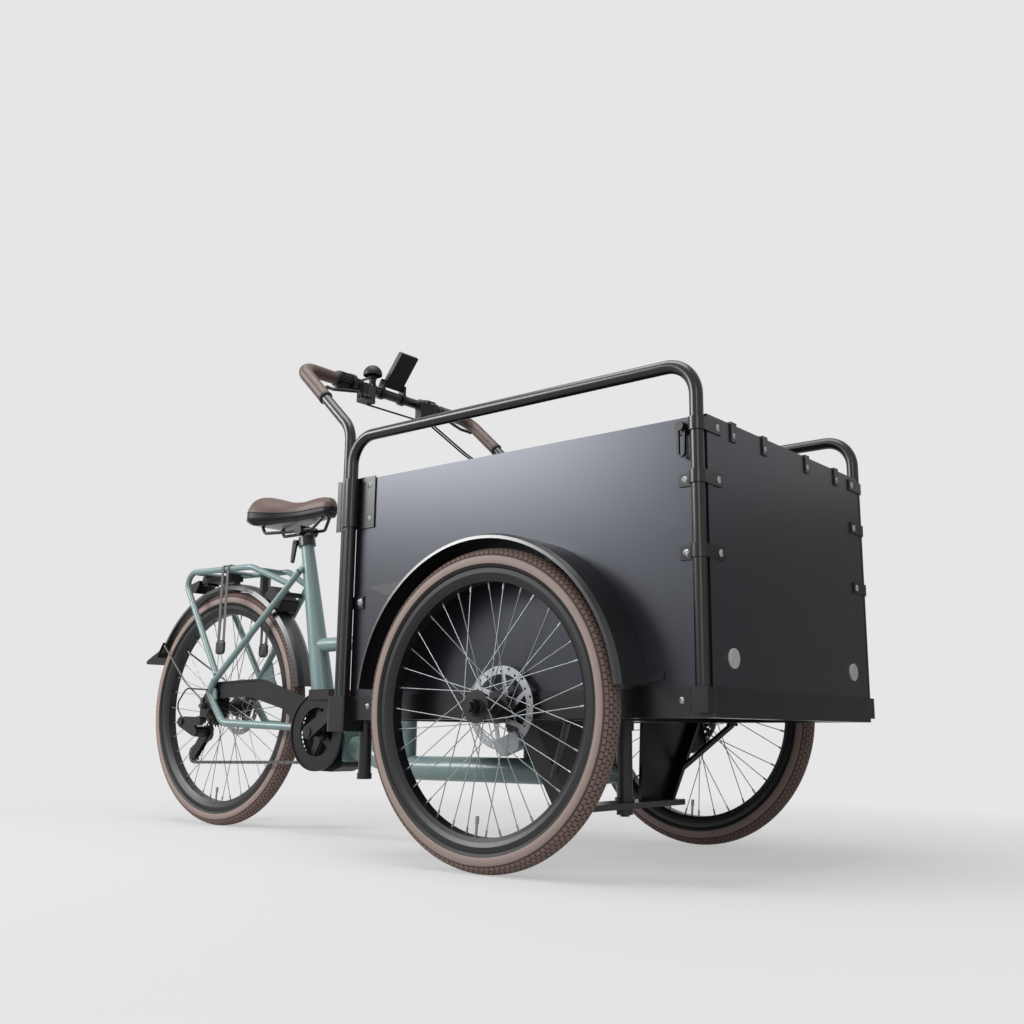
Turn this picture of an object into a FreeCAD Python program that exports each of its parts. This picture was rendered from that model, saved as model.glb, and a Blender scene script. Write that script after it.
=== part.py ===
import FreeCAD, Part
import math
import os

V = FreeCAD.Vector
os.makedirs("parts", exist_ok=True)

# Driving sizes in mm. X runs forward, Y to the rider's left and Z up from the ground.
# While a piece is drawn, X is counted from the front axle.
WHEELBASE = 1330.0
WHEEL_OUT = 60.0
FRONT_R = 303.5
REAR_R = 329.5
TYRE_W = 50.0
TYRE_WALL = 4.0
TYRE_BITE = 15.0
RIM_DEPTH = 25.0
SPOKE_R = 1.0
SPOKES = 36
STUB_R = 10.0
REAR_AXLE_R = 6.0
DISC_R = 80.0

BOX_LENGTH = 903.0
BOX_WIDTH = 660.0
BOX_FRONT = 457.0
BOX_TOP = 815.0
PANEL_T = 12.0
RAIL_TOP = 333.0
RAIL_H = 51.0
RAIL_W = 40.0
HOOP_R = 12.7
HOOP_TOP = 912.0
HOOP_BEND = 62.0

STEER_X = 50.0
HEAD_R = 17.0
HEAD_LOW = 125.0
HEAD_TOP = 262.0
KINGPIN_R = 10.0
MAIN_TUBE_R = 28.5
MAIN_TUBE_Z = 173.0
UPPER_TUBE_R = 19.0
UPPER_TUBE_Z = 487.0
SEAT_TOP_Z = 786.0
SEAT_FOOT_Z = 330.0
SEAT_ANGLE = 77.2
POST_R = 13.6

CHAINSTAY = 468.0
CRANK_Z = 258.0
CRANK = 175.0
CRANK_ANGLE = 30.0
CHAIN_PITCH = 12.7
RING_TEETH = 38
SPROCKETS = (11, 13, 15, 18, 21, 24, 28)
CHAIN_SPROCKET = 3
GUIDE_TEETH = 11
CHAIN_Y = -45.0
SPROCKET_STEP = 5.0

BAR_R = 12.7
BAR_X = -698.0
BAR_Z = 1143.0
BAR_BEND_Z = 948.0
BAR_HALF = 310.0
GRIP_R = 17.0

FIT = 0.3
SLIDE_FIT = 0.08
FENDER_T = 2.5
FENDER_CLEAR = 15.0
RACK_CLEAR = 43.5
FLAP_REACH = 375.0

BOX_REAR = BOX_FRONT - BOX_LENGTH
SIDE_Y = BOX_WIDTH / 2
REAR_X = -WHEELBASE
CRANK_X = REAR_X + CHAINSTAY
WHEEL_Y = SIDE_Y + WHEEL_OUT
RAIL_LOW = RAIL_TOP - RAIL_H
POST_Y = SIDE_Y + HOOP_R + FIT
RAIL_PROUD = 5.0
REAR_FENDER_R = REAR_R + FENDER_CLEAR
FRONT_REACH = BOX_FRONT + 7.0
SHIFT_X = (WHEELBASE + FLAP_REACH - FRONT_REACH) / 2

nodes = {}


def unit(a, b):
    d = b.sub(a)
    return d.multiply(1.0 / d.Length)


def rod(a, b, r):
    return Part.makeCylinder(r, b.sub(a).Length, a, b.sub(a))


def fused(shapes):
    return shapes[0].multiFuse(shapes[1:]).removeSplitter() if len(shapes) > 1 else shapes[0]


def group(shapes):
    return Part.makeCompound(shapes)


def mirrored(shape):
    return shape.mirror(V(0, 0, 0), V(0, 1, 0))


def both_sides(shape):
    return group([shape, mirrored(shape)])


def moved(shape, x, y, z):
    out = shape.copy()
    out.translate(V(x, y, z))
    return out


def corner_arc(before, corner, after, bend):
    u = unit(corner, before)
    w = unit(corner, after)
    half = math.acos(max(-1.0, min(1.0, u.dot(w)))) / 2
    reach = bend / math.tan(half)
    bisector = u.add(w)
    bisector.multiply(1.0 / bisector.Length)
    middle = corner.add(bisector.multiply(bend / math.sin(half) - bend))
    start = corner.add(V(u).multiply(reach))
    end = corner.add(V(w).multiply(reach))
    return start, middle, end


def bent_path(points, bends):
    if not isinstance(bends, (list, tuple)):
        bends = [bends] * (len(points) - 2)
    edges = []
    start = points[0]
    for before, corner, after, bend in zip(points, points[1:], points[2:], bends):
        a, m, b = corner_arc(before, corner, after, bend)
        edges.append(Part.makeLine(start, a))
        edges.append(Part.Arc(a, m, b).toShape())
        start = b
    edges.append(Part.makeLine(start, points[-1]))
    return Part.Wire(edges)


def bent_tube(points, r, bends):
    path = bent_path(points, bends)
    ring = Part.Wire(Part.makeCircle(r, points[0], points[1].sub(points[0])))
    return path.makePipeShell([ring], True, False)


def rounded_wire(points, bend):
    n = len(points)
    bends = bend if isinstance(bend, (list, tuple)) else [bend] * n
    arcs = [corner_arc(points[i - 1], points[i], points[(i + 1) % n], bends[i]) for i in range(n)]
    edges = []
    for i, (a, m, b) in enumerate(arcs):
        edges.append(Part.Arc(a, m, b).toShape())
        edges.append(Part.makeLine(b, arcs[(i + 1) % n][0]))
    return Part.Wire(edges)


def plate_y(points, y0, y1, bend=0.0):
    corners = [V(x, y0, z) for x, z in points]
    wire = rounded_wire(corners, bend) if bend else Part.makePolygon(corners + corners[:1])
    return Part.Face(wire).extrude(V(0, y1 - y0, 0))


def plate_x(points, x0, x1, bend=0.0):
    corners = [V(x0, y, z) for y, z in points]
    wire = rounded_wire(corners, bend) if bend else Part.makePolygon(corners + corners[:1])
    return Part.Face(wire).extrude(V(x1 - x0, 0, 0))


def plate_z(points, z0, z1, bend=0.0):
    corners = [V(x, y, z0) for x, y in points]
    wire = rounded_wire(corners, bend) if bend else Part.makePolygon(corners + corners[:1])
    return Part.Face(wire).extrude(V(0, 0, z1 - z0))


def block(x0, x1, y0, y1, z0, z1):
    return Part.makeBox(x1 - x0, y1 - y0, z1 - z0, V(x0, y0, z0))


def disc_y(x, z, r, y0, y1):
    return rod(V(x, y0, z), V(x, y1, z), r)


def ring_y(x, z, r_out, r_in, y0, y1):
    return disc_y(x, z, r_out, y0, y1).cut(disc_y(x, z, r_in, y0 - 1, y1 + 1))


def hex_y(x, z, across, y0, y1):
    r = across / math.sqrt(3)
    pts = [(x + r * math.cos(k * math.pi / 3), z + r * math.sin(k * math.pi / 3)) for k in range(6)]
    return plate_y(pts, y0, y1)


def link_plate(p, q, r1, r2, y0, y1):
    """A plate round two centres, with straight tangent sides."""
    dx, dz = q[0] - p[0], q[1] - p[1]
    length = math.hypot(dx, dz)
    base = math.atan2(dz, dx)
    spread = math.acos((r1 - r2) / length)

    def at(c, r, angle):
        return V(c[0] + r * math.cos(angle), y0, c[1] + r * math.sin(angle))

    a, b = at(p, r1, base + spread), at(p, r1, base - spread)
    c, d = at(q, r2, base - spread), at(q, r2, base + spread)
    edges = [
        Part.Arc(a, at(p, r1, base + math.pi), b).toShape(),
        Part.makeLine(b, c),
        Part.Arc(c, at(q, r2, base), d).toShape(),
        Part.makeLine(d, a),
    ]
    return Part.Face(Part.Wire(edges)).extrude(V(0, y1 - y0, 0))


# Wheels, drawn about the origin with the axle along Y


def spun(profile):
    """Turn a closed (y, r) outline about the Y axis."""
    pts = [V(0, y, r) for y, r in profile]
    return Part.Face(Part.makePolygon(pts + pts[:1])).revolve(V(0, 0, 0), V(0, 1, 0), 360)


def tyre(r):
    centre = r - TYRE_W / 2
    bead = centre - TYRE_BITE
    outer = TYRE_W / 2
    inner = outer - TYRE_WALL
    yo = math.sqrt(outer**2 - TYRE_BITE**2)
    yi = math.sqrt(max(inner**2 - TYRE_BITE**2, 9.0))
    edges = [
        Part.Arc(V(0, -yo, bead), V(0, 0, r), V(0, yo, bead)).toShape(),
        Part.makeLine(V(0, yo, bead), V(0, yi, bead)),
        Part.Arc(V(0, yi, bead), V(0, 0, centre + inner), V(0, -yi, bead)).toShape(),
        Part.makeLine(V(0, -yi, bead), V(0, -yo, bead)),
    ]
    return Part.Face(Part.Wire(edges)).revolve(V(0, 0, 0), V(0, 1, 0), 360)


def rim_top(r):
    return r - TYRE_W / 2 - TYRE_BITE - FIT


def rim(r):
    top = rim_top(r)
    w = math.sqrt((TYRE_W / 2) ** 2 - TYRE_BITE**2)
    low = top - RIM_DEPTH
    half = [(w, top), (w, top - 9), (w - 3, low + 8), (w - 8, low)]
    well = [(-w + 3, top), (-w + 3, top - 7), (w - 3, top - 7), (w - 3, top)]
    return spun([(-y, z) for y, z in half] + half[::-1] + well[::-1])


def spokes(r, flange_r, left_y, right_y):
    """Crossed spokes: on each flange half of them lean one way and half the other."""
    start = flange_r + SPOKE_R + FIT
    end = rim_top(r) - RIM_DEPTH - 2.4 * FIT
    per_side = SPOKES // 2
    step = 2 * math.pi / per_side
    lean = math.radians(52)
    out = []
    for side, flange in ((1, left_y), (-1, right_y)):
        for k in range(per_side):
            way = 1 if k % 2 else -1
            at_rim = k * step + (0 if side > 0 else step / 2)
            at_hub = at_rim - way * lean
            y0 = flange + side * way * 2.6
            y1 = side * (2.2 + way * 1.2)
            p = V(start * math.sin(at_hub), y0, start * math.cos(at_hub))
            q = V(end * math.sin(at_rim), y1, end * math.cos(at_rim))
            nipple = rod(q.add(unit(q, p).multiply(13)), q, 2 * SPOKE_R)
            out.append(rod(p, q, SPOKE_R).fuse(nipple))
    turn = math.pi + step / 4
    top = V(end * math.sin(turn), 0, end * math.cos(turn))
    inward = unit(top, V(0, 0, 0))
    stem = rod(top, top.add(V(inward).multiply(34)), 2.6)
    cap = rod(top.add(V(inward).multiply(22)), top.add(V(inward).multiply(36)), 3.6)
    out.append(stem.fuse(cap))
    return group(out)


def brake_disc(y0, y1, bore):
    band = ring_y(0, 0, DISC_R, DISC_R - 16, y0, y1)
    carrier = ring_y(0, 0, 30, bore, y0, y1)
    arms = []
    for k in range(6):
        a = k * math.pi / 3
        b = a + 0.45
        near = (27 * math.cos(a), 27 * math.sin(a))
        far = ((DISC_R - 13) * math.cos(b), (DISC_R - 13) * math.sin(b))
        arms.append(link_plate(near, far, 5.5, 4.0, y0, y1))
    disc = fused([band, carrier] + arms)
    holes = []
    for k in range(24):
        a = k * math.pi / 12
        rr = DISC_R - 8 + (3 if k % 2 else -3)
        holes.append(disc_y(rr * math.cos(a), rr * math.sin(a), 2.6, y0 - 1, y1 + 1))
    for k in range(6):
        a = k * math.pi / 3 + 0.5
        holes.append(disc_y(24 * math.cos(a), 24 * math.sin(a), 2.6, y0 - 1, y1 + 1))
    return disc.cut(group(holes))


FRONT_FLANGE_R = 31.0
FRONT_FLANGE_Y = 29.0
FRONT_HUB_HALF = 35.0
DISC_Y = 42.0
front_bore = STUB_R + SLIDE_FIT
front_hub = spun(
    [
        (-FRONT_HUB_HALF, front_bore), (-FRONT_HUB_HALF, 17), (-FRONT_FLANGE_Y - 1.6, 19),
        (-FRONT_FLANGE_Y - 1.6, FRONT_FLANGE_R), (-FRONT_FLANGE_Y + 1.6, FRONT_FLANGE_R),
        (-FRONT_FLANGE_Y + 1.6, 20), (-14, 16), (14, 16), (FRONT_FLANGE_Y - 1.6, 20),
        (FRONT_FLANGE_Y - 1.6, FRONT_FLANGE_R), (FRONT_FLANGE_Y + 1.6, FRONT_FLANGE_R),
        (FRONT_FLANGE_Y + 1.6, 24), (DISC_Y - FIT, 24), (DISC_Y - FIT, front_bore),
    ]
)
front_wheel = {
    "tyre": tyre(FRONT_R),
    "rim": rim(FRONT_R),
    "spokes": spokes(FRONT_R, FRONT_FLANGE_R, FRONT_FLANGE_Y, -FRONT_FLANGE_Y),
    "hub": group([front_hub, brake_disc(DISC_Y, DISC_Y + 2, 18)]),
}
for piece, shape in front_wheel.items():
    right = moved(shape, 0, -WHEEL_Y, FRONT_R)
    nodes["front_" + piece + "_right"] = right
    nodes["front_" + piece + "_left"] = mirrored(right)

REAR_LEFT_Y = 34.0
REAR_RIGHT_Y = -21.0
REAR_FLANGE_R = 27.0
CASSETTE_IN = CHAIN_Y + 3 * SPROCKET_STEP + 4
rear_bore = REAR_AXLE_R + SLIDE_FIT
rear_hub = spun(
    [
        (CASSETTE_IN + FIT, rear_bore), (CASSETTE_IN + FIT, 17), (REAR_RIGHT_Y - 1.6, 19),
        (REAR_RIGHT_Y - 1.6, REAR_FLANGE_R), (REAR_RIGHT_Y + 1.6, REAR_FLANGE_R), (REAR_RIGHT_Y + 1.6, 19),
        (-8, 14), (20, 14), (REAR_LEFT_Y - 1.6, 18), (REAR_LEFT_Y - 1.6, REAR_FLANGE_R),
        (REAR_LEFT_Y + 1.6, REAR_FLANGE_R), (REAR_LEFT_Y + 1.6, 22), (47, 22), (47, 16), (66, 14),
        (66, rear_bore),
    ]
)
rear_wheel = {
    "tyre": tyre(REAR_R),
    "rim": rim(REAR_R),
    "spokes": spokes(REAR_R, REAR_FLANGE_R, REAR_LEFT_Y, REAR_RIGHT_Y),
    "hub": group([rear_hub, brake_disc(47 + FIT, 49 + FIT, 18)]),
}
for piece, shape in rear_wheel.items():
    nodes["rear_" + piece] = moved(shape, REAR_X, 0, REAR_R)

# Welded rear frame


def seat_axis(z):
    """The point of the seat tube's axis at a height."""
    foot_x = CRANK_X - 47
    return V(foot_x - (z - SEAT_FOOT_Z) / math.tan(math.radians(SEAT_ANGLE)), 0, z)


SEAT_LOW_Z = CRANK_Z + 104
seat_low = seat_axis(SEAT_LOW_Z)
seat_top = seat_axis(SEAT_TOP_Z)
up_seat = unit(seat_low, seat_top)
seat_tube = Part.makeCone(30, POST_R + 3.4, seat_top.sub(seat_low).Length, seat_low, up_seat)

MOTOR_FRONT = CRANK_X + 70
BEND_X = CRANK_X + 272
head_tube = rod(V(STEER_X, 0, HEAD_LOW), V(STEER_X, 0, HEAD_TOP), HEAD_R)
TAPER = 80.0
taper_start = V(STEER_X - TAPER, 0, MAIN_TUBE_Z)
main_tube = bent_tube(
    [V(MOTOR_FRONT + FIT + 8, 0, CRANK_Z - 37), V(BEND_X - 15, 0, MAIN_TUBE_Z), taper_start], MAIN_TUBE_R, 200
)
main_taper = Part.makeCone(MAIN_TUBE_R, HEAD_R - 2, TAPER, taper_start, V(1, 0, 0))
motor_flange = plate_x(
    [(-36, CRANK_Z - 75), (36, CRANK_Z - 75), (36, CRANK_Z + 1), (-36, CRANK_Z + 1)],
    MOTOR_FRONT + FIT,
    MOTOR_FRONT + FIT + 10,
    8,
)
upper_tube = bent_tube(
    [seat_axis(UPPER_TUBE_Z), V(BEND_X, 0, UPPER_TUBE_Z), V(BEND_X, 0, MAIN_TUBE_Z + 4)], UPPER_TUBE_R, 62
)
post_bore = rod(seat_top.sub(V(up_seat).multiply(330)), seat_top.add(up_seat), POST_R + SLIDE_FIT)
frame = fused([head_tube, main_tube, main_taper, motor_flange, upper_tube, seat_tube])
frame = frame.cut(rod(V(STEER_X, 0, HEAD_LOW - 1), V(STEER_X, 0, HEAD_TOP + 1), KINGPIN_R + SLIDE_FIT))
nodes["main_frame"] = frame.cut(post_bore)

STAY_Y = 75.0
stay_foot = V(REAR_X + 40, STAY_Y, REAR_R + 70)
stay_end = V(REAR_X + 16, STAY_Y, REAR_R + 34)
yoke_x = CRANK_X - 106
chain_stay = bent_tube(
    [V(yoke_x, 46, CRANK_Z + 12), V(REAR_X + 88, STAY_Y, CRANK_Z + 24), stay_end], 10, 40
)
stay_link = rod(stay_end, stay_foot, 10)
seat_stay_top = seat_axis(SEAT_TOP_Z - 96).add(V(-14, 28, 0))
seat_stay = rod(seat_stay_top, stay_foot, 9)
dropout = plate_y(
    [
        (REAR_X - 20, REAR_R + 12), (REAR_X - 20, REAR_R - 12), (REAR_X - 18, REAR_R - 50),
        (REAR_X + 2, REAR_R - 50), (REAR_X + 20, REAR_R - 10), (REAR_X + 50, REAR_R + 20),
        (REAR_X + 46, REAR_R + 50), (REAR_X + 8, REAR_R + 44),
    ],
    STAY_Y - 6,
    STAY_Y,
    8,
)
dropout = dropout.cut(disc_y(REAR_X, REAR_R, REAR_AXLE_R + FIT, STAY_Y - 20, STAY_Y + 20))
brake_plate = plate_y(
    [(REAR_X + 44, REAR_R + 66), (REAR_X + 56, REAR_R + 46), (REAR_X + 96, REAR_R + 52),
     (REAR_X + 130, REAR_R + 64), (REAR_X + 120, REAR_R + 78), (REAR_X + 104, REAR_R + 130)],
    STAY_Y - 8,
    STAY_Y - 2,
    3,
)
yoke = rod(V(yoke_x, -52, CRANK_Z + 12), V(yoke_x, 52, CRANK_Z + 12), 10)
strut = rod(V(yoke_x, 0, CRANK_Z + 12), seat_axis(CRANK_Z + 190), 10)
left_stays = fused([chain_stay, stay_link, seat_stay, dropout])
stays = fused([left_stays, mirrored(left_stays), brake_plate, yoke, strut])
stay_head = rod(seat_stay_top, seat_axis(SEAT_TOP_Z - 70), 9)
stays = fused([stays, stay_head, mirrored(stay_head)])
nodes["rear_stays"] = stays.cut(nodes["main_frame"]).cut(seat_tube)

# Rack with deck, strap and lamp
RACK_Y = 65.0
RACK_Z = REAR_R + REAR_FENDER_R + RACK_CLEAR
RACK_R = 8.5
rack_start = seat_stay_top.add(unit(seat_stay_top, stay_foot).multiply(46))
rack_side = bent_tube(
    [
        rack_start,
        V(REAR_X + 165, RACK_Y, RACK_Z - 4),
        V(REAR_X - 162, RACK_Y, RACK_Z + 4),
        stay_foot.add(V(6, 0, 16)),
    ],
    RACK_R,
    [60, 34],
)
bar_seats = ((REAR_X + 140, RACK_Z - 4), (REAR_X, RACK_Z), (REAR_X - 118, RACK_Z + 2.5))
cross_bars = [rod(V(x, -RACK_Y, z), V(x, RACK_Y, z), 6) for x, z in bar_seats]
rack = fused([rack_side, mirrored(rack_side)] + cross_bars)
nodes["rear_rack"] = rack.cut(nodes["rear_stays"])

deck_top = RACK_Z - 11
DECK_T = 15.0
deck = plate_z(
    [(REAR_X - 128, -24), (REAR_X + 16, -24), (REAR_X + 16, 24), (REAR_X - 128, 24)],
    deck_top - DECK_T, deck_top, 8
)
saddles = [block(x - 8, x + 8, -20, 20, deck_top - 1, z - 6 - FIT) for x, z in bar_seats[1:]]
rack_deck = fused([deck] + saddles)
lamp_body = plate_y(
    [(REAR_X - 176, deck_top - 16), (REAR_X - 128 - FIT, deck_top - 4), (REAR_X - 128 - FIT, deck_top - 16),
     (REAR_X - 146, deck_top - 42), (REAR_X - 176, deck_top - 38)],
    -30, 30, 3,
)
lamp_foot = block(REAR_X - 150, REAR_X - 100, -20, 20, deck_top - DECK_T - FIT - 6, deck_top - DECK_T - FIT)
nodes["rack_deck"] = group([rack_deck, lamp_body.fuse(lamp_foot).removeSplitter()])

STRAP_X = REAR_X + 57
STRAP_BAND_T = 2.0
strap_y = RACK_Y + RACK_R + FIT + STRAP_BAND_T
strap_top = RACK_Z + RACK_R - 0.5
strap_low = REAR_R + 178


def strap_band(x0, x1):
    top = strap_top + STRAP_BAND_T
    inner_y = strap_y - STRAP_BAND_T
    outer = [(-strap_y, strap_low), (-strap_y, top), (strap_y, top), (strap_y, strap_low)]
    inner = [(inner_y, strap_low), (inner_y, strap_top), (-inner_y, strap_top), (-inner_y, strap_low)]
    return plate_x(outer + inner, x0, x1)


STRAP_GAP = 6.0
bands = [strap_band(STRAP_X - 17, STRAP_X - STRAP_GAP), strap_band(STRAP_X + STRAP_GAP, STRAP_X + 17)]
end_block = plate_x(
    [(-strap_y - 4, strap_low - 36), (-strap_y - 6, strap_low + 4), (-strap_y + 5, strap_low + 4),
     (-strap_y + 5, strap_low - 36)],
    STRAP_X - 19, STRAP_X + 19, 4,
)
nodes["luggage_strap"] = fused(bands + [end_block, mirrored(end_block)])

# Rear fender with its flap and stays
FENDER_FRONT = 8.0
FENDER_REAR = 152.0


def swept_fender(profile, front, rear):
    """Turn a (y, r) outline about the wheel's axle from the rear end to the front one, in degrees from +X."""
    pts = [V(0, y, r) for y, r in profile]
    face = Part.Face(Part.makePolygon(pts + pts[:1]))
    face.rotate(V(0, 0, 0), V(0, 1, 0), -(rear - 90))
    return face.revolve(V(0, 0, 0), V(0, 1, 0), rear - front)


def crown_profile(r, y0, y1, lip):
    """A thin arched outline between two edges, whose lips turn down."""
    mid = (y0 + y1) / 2
    outer = [(y0, r - lip), (y0 + 5, r + 2), (mid - 12, r + 8), (mid + 12, r + 8),
             (y1 - 5, r + 2), (y1, r - lip)]
    inner = [(y1 - FENDER_T, r - lip), (y1 - 6, r), (mid + 11, r + 8 - FENDER_T), (mid - 11, r + 8 - FENDER_T),
             (y0 + 6, r), (y0 + FENDER_T, r - lip)]
    return outer + inner


rear_fender = swept_fender(crown_profile(REAR_FENDER_R, -31, 31, 10), FENDER_FRONT, FENDER_REAR)
rear_fender.translate(V(REAR_X, 0, REAR_R))
tip = math.radians(FENDER_REAR)
flap_in = (REAR_X + (REAR_FENDER_R + 4) * math.cos(tip), REAR_R + (REAR_FENDER_R + 4) * math.sin(tip))
flap_x = REAR_X - FLAP_REACH
flap = plate_y(
    [
        (flap_in[0] + 18, flap_in[1] + 36), (flap_in[0] - 3, flap_in[1] + 6), (flap_x + 5, REAR_R + 143),
        (flap_x, REAR_R + 136), (flap_x + 5, REAR_R + 131), (flap_in[0] + 2, flap_in[1] - 9),
        (flap_in[0] + 12, flap_in[1] + 4),
    ],
    -30, 30, 1.5,
)
flap_bite = ring_y(REAR_X, REAR_R, REAR_FENDER_R + 7, REAR_FENDER_R - 60, -40, 40)
STAY_ANGLE = math.radians(147)
eye_x, eye_z = REAR_X - 11, REAR_R + 17
eye_y = STAY_Y + FIT
stay_r = REAR_FENDER_R - 5
stay_top = V(REAR_X + stay_r * math.cos(STAY_ANGLE), 30, REAR_R + stay_r * math.sin(STAY_ANGLE))
stay_eye = disc_y(eye_x, eye_z, 6.5, eye_y, eye_y + 4)
eye_end = V(eye_x, eye_y + 3, eye_z)
stay_bend = eye_end.add(V(stay_top.x - eye_x, 0, stay_top.z - eye_z).multiply(0.3))
fender_stay = bent_tube([stay_top, stay_bend, eye_end], 2.5, 30).fuse(stay_eye).removeSplitter()
fender_stay = fender_stay.cut(group([rear_fender, moved(rear_fender, 0, FIT, 0)]))
fender_stay = max(fender_stay.Solids, key=lambda solid: solid.Volume)
fender_foot = block(REAR_X - 14, REAR_X + 14, -12, 12, REAR_R + REAR_FENDER_R + 6.5, deck_top - DECK_T - FIT)
front_bar_x, front_bar_z = bar_seats[0]
post_low = REAR_R + math.sqrt((REAR_FENDER_R + 6.5) ** 2 - (front_bar_x - REAR_X + 6) ** 2)
fender_post = block(front_bar_x - 6, front_bar_x + 6, -10, 10, post_low, front_bar_z - 6 - FIT)
nodes["rear_fender"] = fused([rear_fender, flap.cut(flap_bite), fender_foot, fender_post])


def at_wheel(r, degrees):
    angle = math.radians(degrees)
    return REAR_X + r * math.cos(angle), REAR_R + r * math.sin(angle)


LOCK_IN, LOCK_OUT = REAR_FENDER_R + 12, REAR_FENDER_R + 46
lock_body = plate_y(
    [at_wheel(LOCK_IN, 60), at_wheel(LOCK_IN, 45), at_wheel(LOCK_OUT, 47), at_wheel(LOCK_OUT, 58)], -26, 26, 6)
lock_at = seat_stay_top.add(V(stay_foot.sub(seat_stay_top)).multiply(0.2))
lock_bar = rod(V(lock_at.x, -lock_at.y, lock_at.z), lock_at, 7)
stay_room = rod(seat_stay_top, stay_foot, 9 + FIT)
lock = lock_body.fuse(lock_bar).cut(group([stay_room, mirrored(stay_room)])).removeSplitter()
nodes["rack_deck"] = group([nodes["rack_deck"], lock])

# Motor, crank set and pedals
motor_outline = [
    (CRANK_X - 68, CRANK_Z - 62), (CRANK_X - 72, CRANK_Z + 52), (CRANK_X - 40, CRANK_Z + 93),
    (CRANK_X + 34, CRANK_Z + 87), (MOTOR_FRONT, CRANK_Z + 43), (MOTOR_FRONT, CRANK_Z - 86),
    (CRANK_X + 30, CRANK_Z - 100), (CRANK_X - 36, CRANK_Z - 98),
]
SPINDLE_R = 12.0
motor = plate_y(motor_outline, -34, 40, 12)
motor_cap = disc_y(CRANK_X, CRANK_Z, 52, 39, 46)
motor = motor.fuse(motor_cap).removeSplitter()
nodes["motor_housing"] = motor.cut(disc_y(CRANK_X, CRANK_Z, SPINDLE_R + FIT, -60, 60))

ARM_Y = 80.0
ARM_T = 13.0
PEDAL_REACH = 96.0


def crank_end(angle):
    return CRANK_X + CRANK * math.cos(math.radians(angle)), CRANK_Z + CRANK * math.sin(math.radians(angle))


def crank_arm(side, angle):
    end = crank_end(angle)
    y0, y1 = (ARM_Y, ARM_Y + ARM_T) if side > 0 else (-ARM_Y - ARM_T, -ARM_Y)
    arm = link_plate((CRANK_X, CRANK_Z), end, 18, 13, y0, y1)
    pin = rod(V(end[0], side * ARM_Y, end[1]), V(end[0], side * (ARM_Y + ARM_T + PEDAL_REACH), end[1]), 5)
    cap = rod(V(CRANK_X, side * ARM_Y, CRANK_Z), V(CRANK_X, side * (ARM_Y + ARM_T + 3), CRANK_Z), 13)
    return fused([arm, pin, cap])


spindle = rod(V(CRANK_X, -ARM_Y + FIT, CRANK_Z), V(CRANK_X, ARM_Y - FIT, CRANK_Z), SPINDLE_R)
crank_arms = [crank_arm(-1, CRANK_ANGLE), crank_arm(1, CRANK_ANGLE + 180)]


def pedal(side, angle):
    x, z = crank_end(angle)
    y0 = ARM_Y + ARM_T + 4
    y1 = ARM_Y + ARM_T + PEDAL_REACH + 3
    body = plate_z([(x - 48, y0 + 6), (x - 40, y0), (x + 40, y0), (x + 48, y0 + 6), (x + 48, y1 - 10),
                    (x + 36, y1), (x - 36, y1), (x - 48, y1 - 10)], z - 12, z + 12, 4)
    windows = [block(x + s * 27 - 9, x + s * 27 + 9, y0 + 14, y1 - 14, z - 20, z + 20) for s in (-1, 1)]
    bore = rod(V(x, y0 - 1, z), V(x, y1 - 2, z), 5 + SLIDE_FIT)
    treads = [block(x - 44, x + 44, y, y + 5, z + s * 12 - 1.5, z + s * 12 + 1.5)
              for y in (y0 + 4, y1 - 13) for s in (-1, 1)]
    solid = fused([body] + treads).cut(group(windows + [bore]))
    reflectors = [plate_z([(x + s * 48.3, y0 + 20), (x + s * 51, y0 + 22), (x + s * 51, y1 - 24),
                           (x + s * 48.3, y1 - 22)], z - 8, z + 8) for s in (-1, 1)]
    solid = group([solid] + reflectors)
    return solid if side > 0 else mirrored(solid)


nodes["pedal_right"] = pedal(-1, CRANK_ANGLE)
nodes["pedal_left"] = pedal(1, CRANK_ANGLE + 180)

# Chain drive. Every toothed wheel has its gaps where the chain's rollers lie.
ROLLER_R = 3.8


def pitch_radius(teeth):
    return CHAIN_PITCH / (2 * math.sin(math.pi / teeth))


def toothed(teeth, centre, phase, y0, y1, bore):
    """A sprocket whose first gap lies at the angle phase."""
    rp = pitch_radius(teeth)
    half_gap = [(1.6, -4.1), (3.3, -2.6), (4.2, 0.0), (5.5, 1.9)]
    gap = [(-t, d) for t, d in half_gap[::-1]] + half_gap
    pts = []
    for k in range(teeth):
        a = phase - 2 * math.pi * k / teeth
        c, s = math.cos(a), math.sin(a)
        for t, d in gap:
            pts.append((centre[0] + (rp + d) * c + t * s, centre[1] + (rp + d) * s - t * c))
    return plate_y(pts, y0, y1).cut(disc_y(centre[0], centre[1], bore, y0 - 1, y1 + 1))


ring_centre = (CRANK_X, CRANK_Z)
cog_centre = (REAR_X, REAR_R)
guide_top = (REAR_X - 20, REAR_R - 73)
GUIDE_SPAN = 80.0
RING_P = pitch_radius(RING_TEETH)
COG_P = pitch_radius(SPROCKETS[CHAIN_SPROCKET])
GUIDE_P = pitch_radius(GUIDE_TEETH)


def tangent(p, rp, sp, q, rq, sq):
    """End points of the straight run between two wheels; s is +1 where the chain turns anticlockwise."""
    dx, dz = q[0] - p[0], q[1] - p[1]
    length = math.hypot(dx, dz)
    base = math.atan2(dz, dx)
    off = math.asin((sp * rp - sq * rq) / length)
    n = base + off - math.pi / 2
    return ((p[0] + sp * rp * math.cos(n), p[1] + sp * rp * math.sin(n)),
            (q[0] + sq * rq * math.cos(n), q[1] + sq * rq * math.sin(n)))


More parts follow.
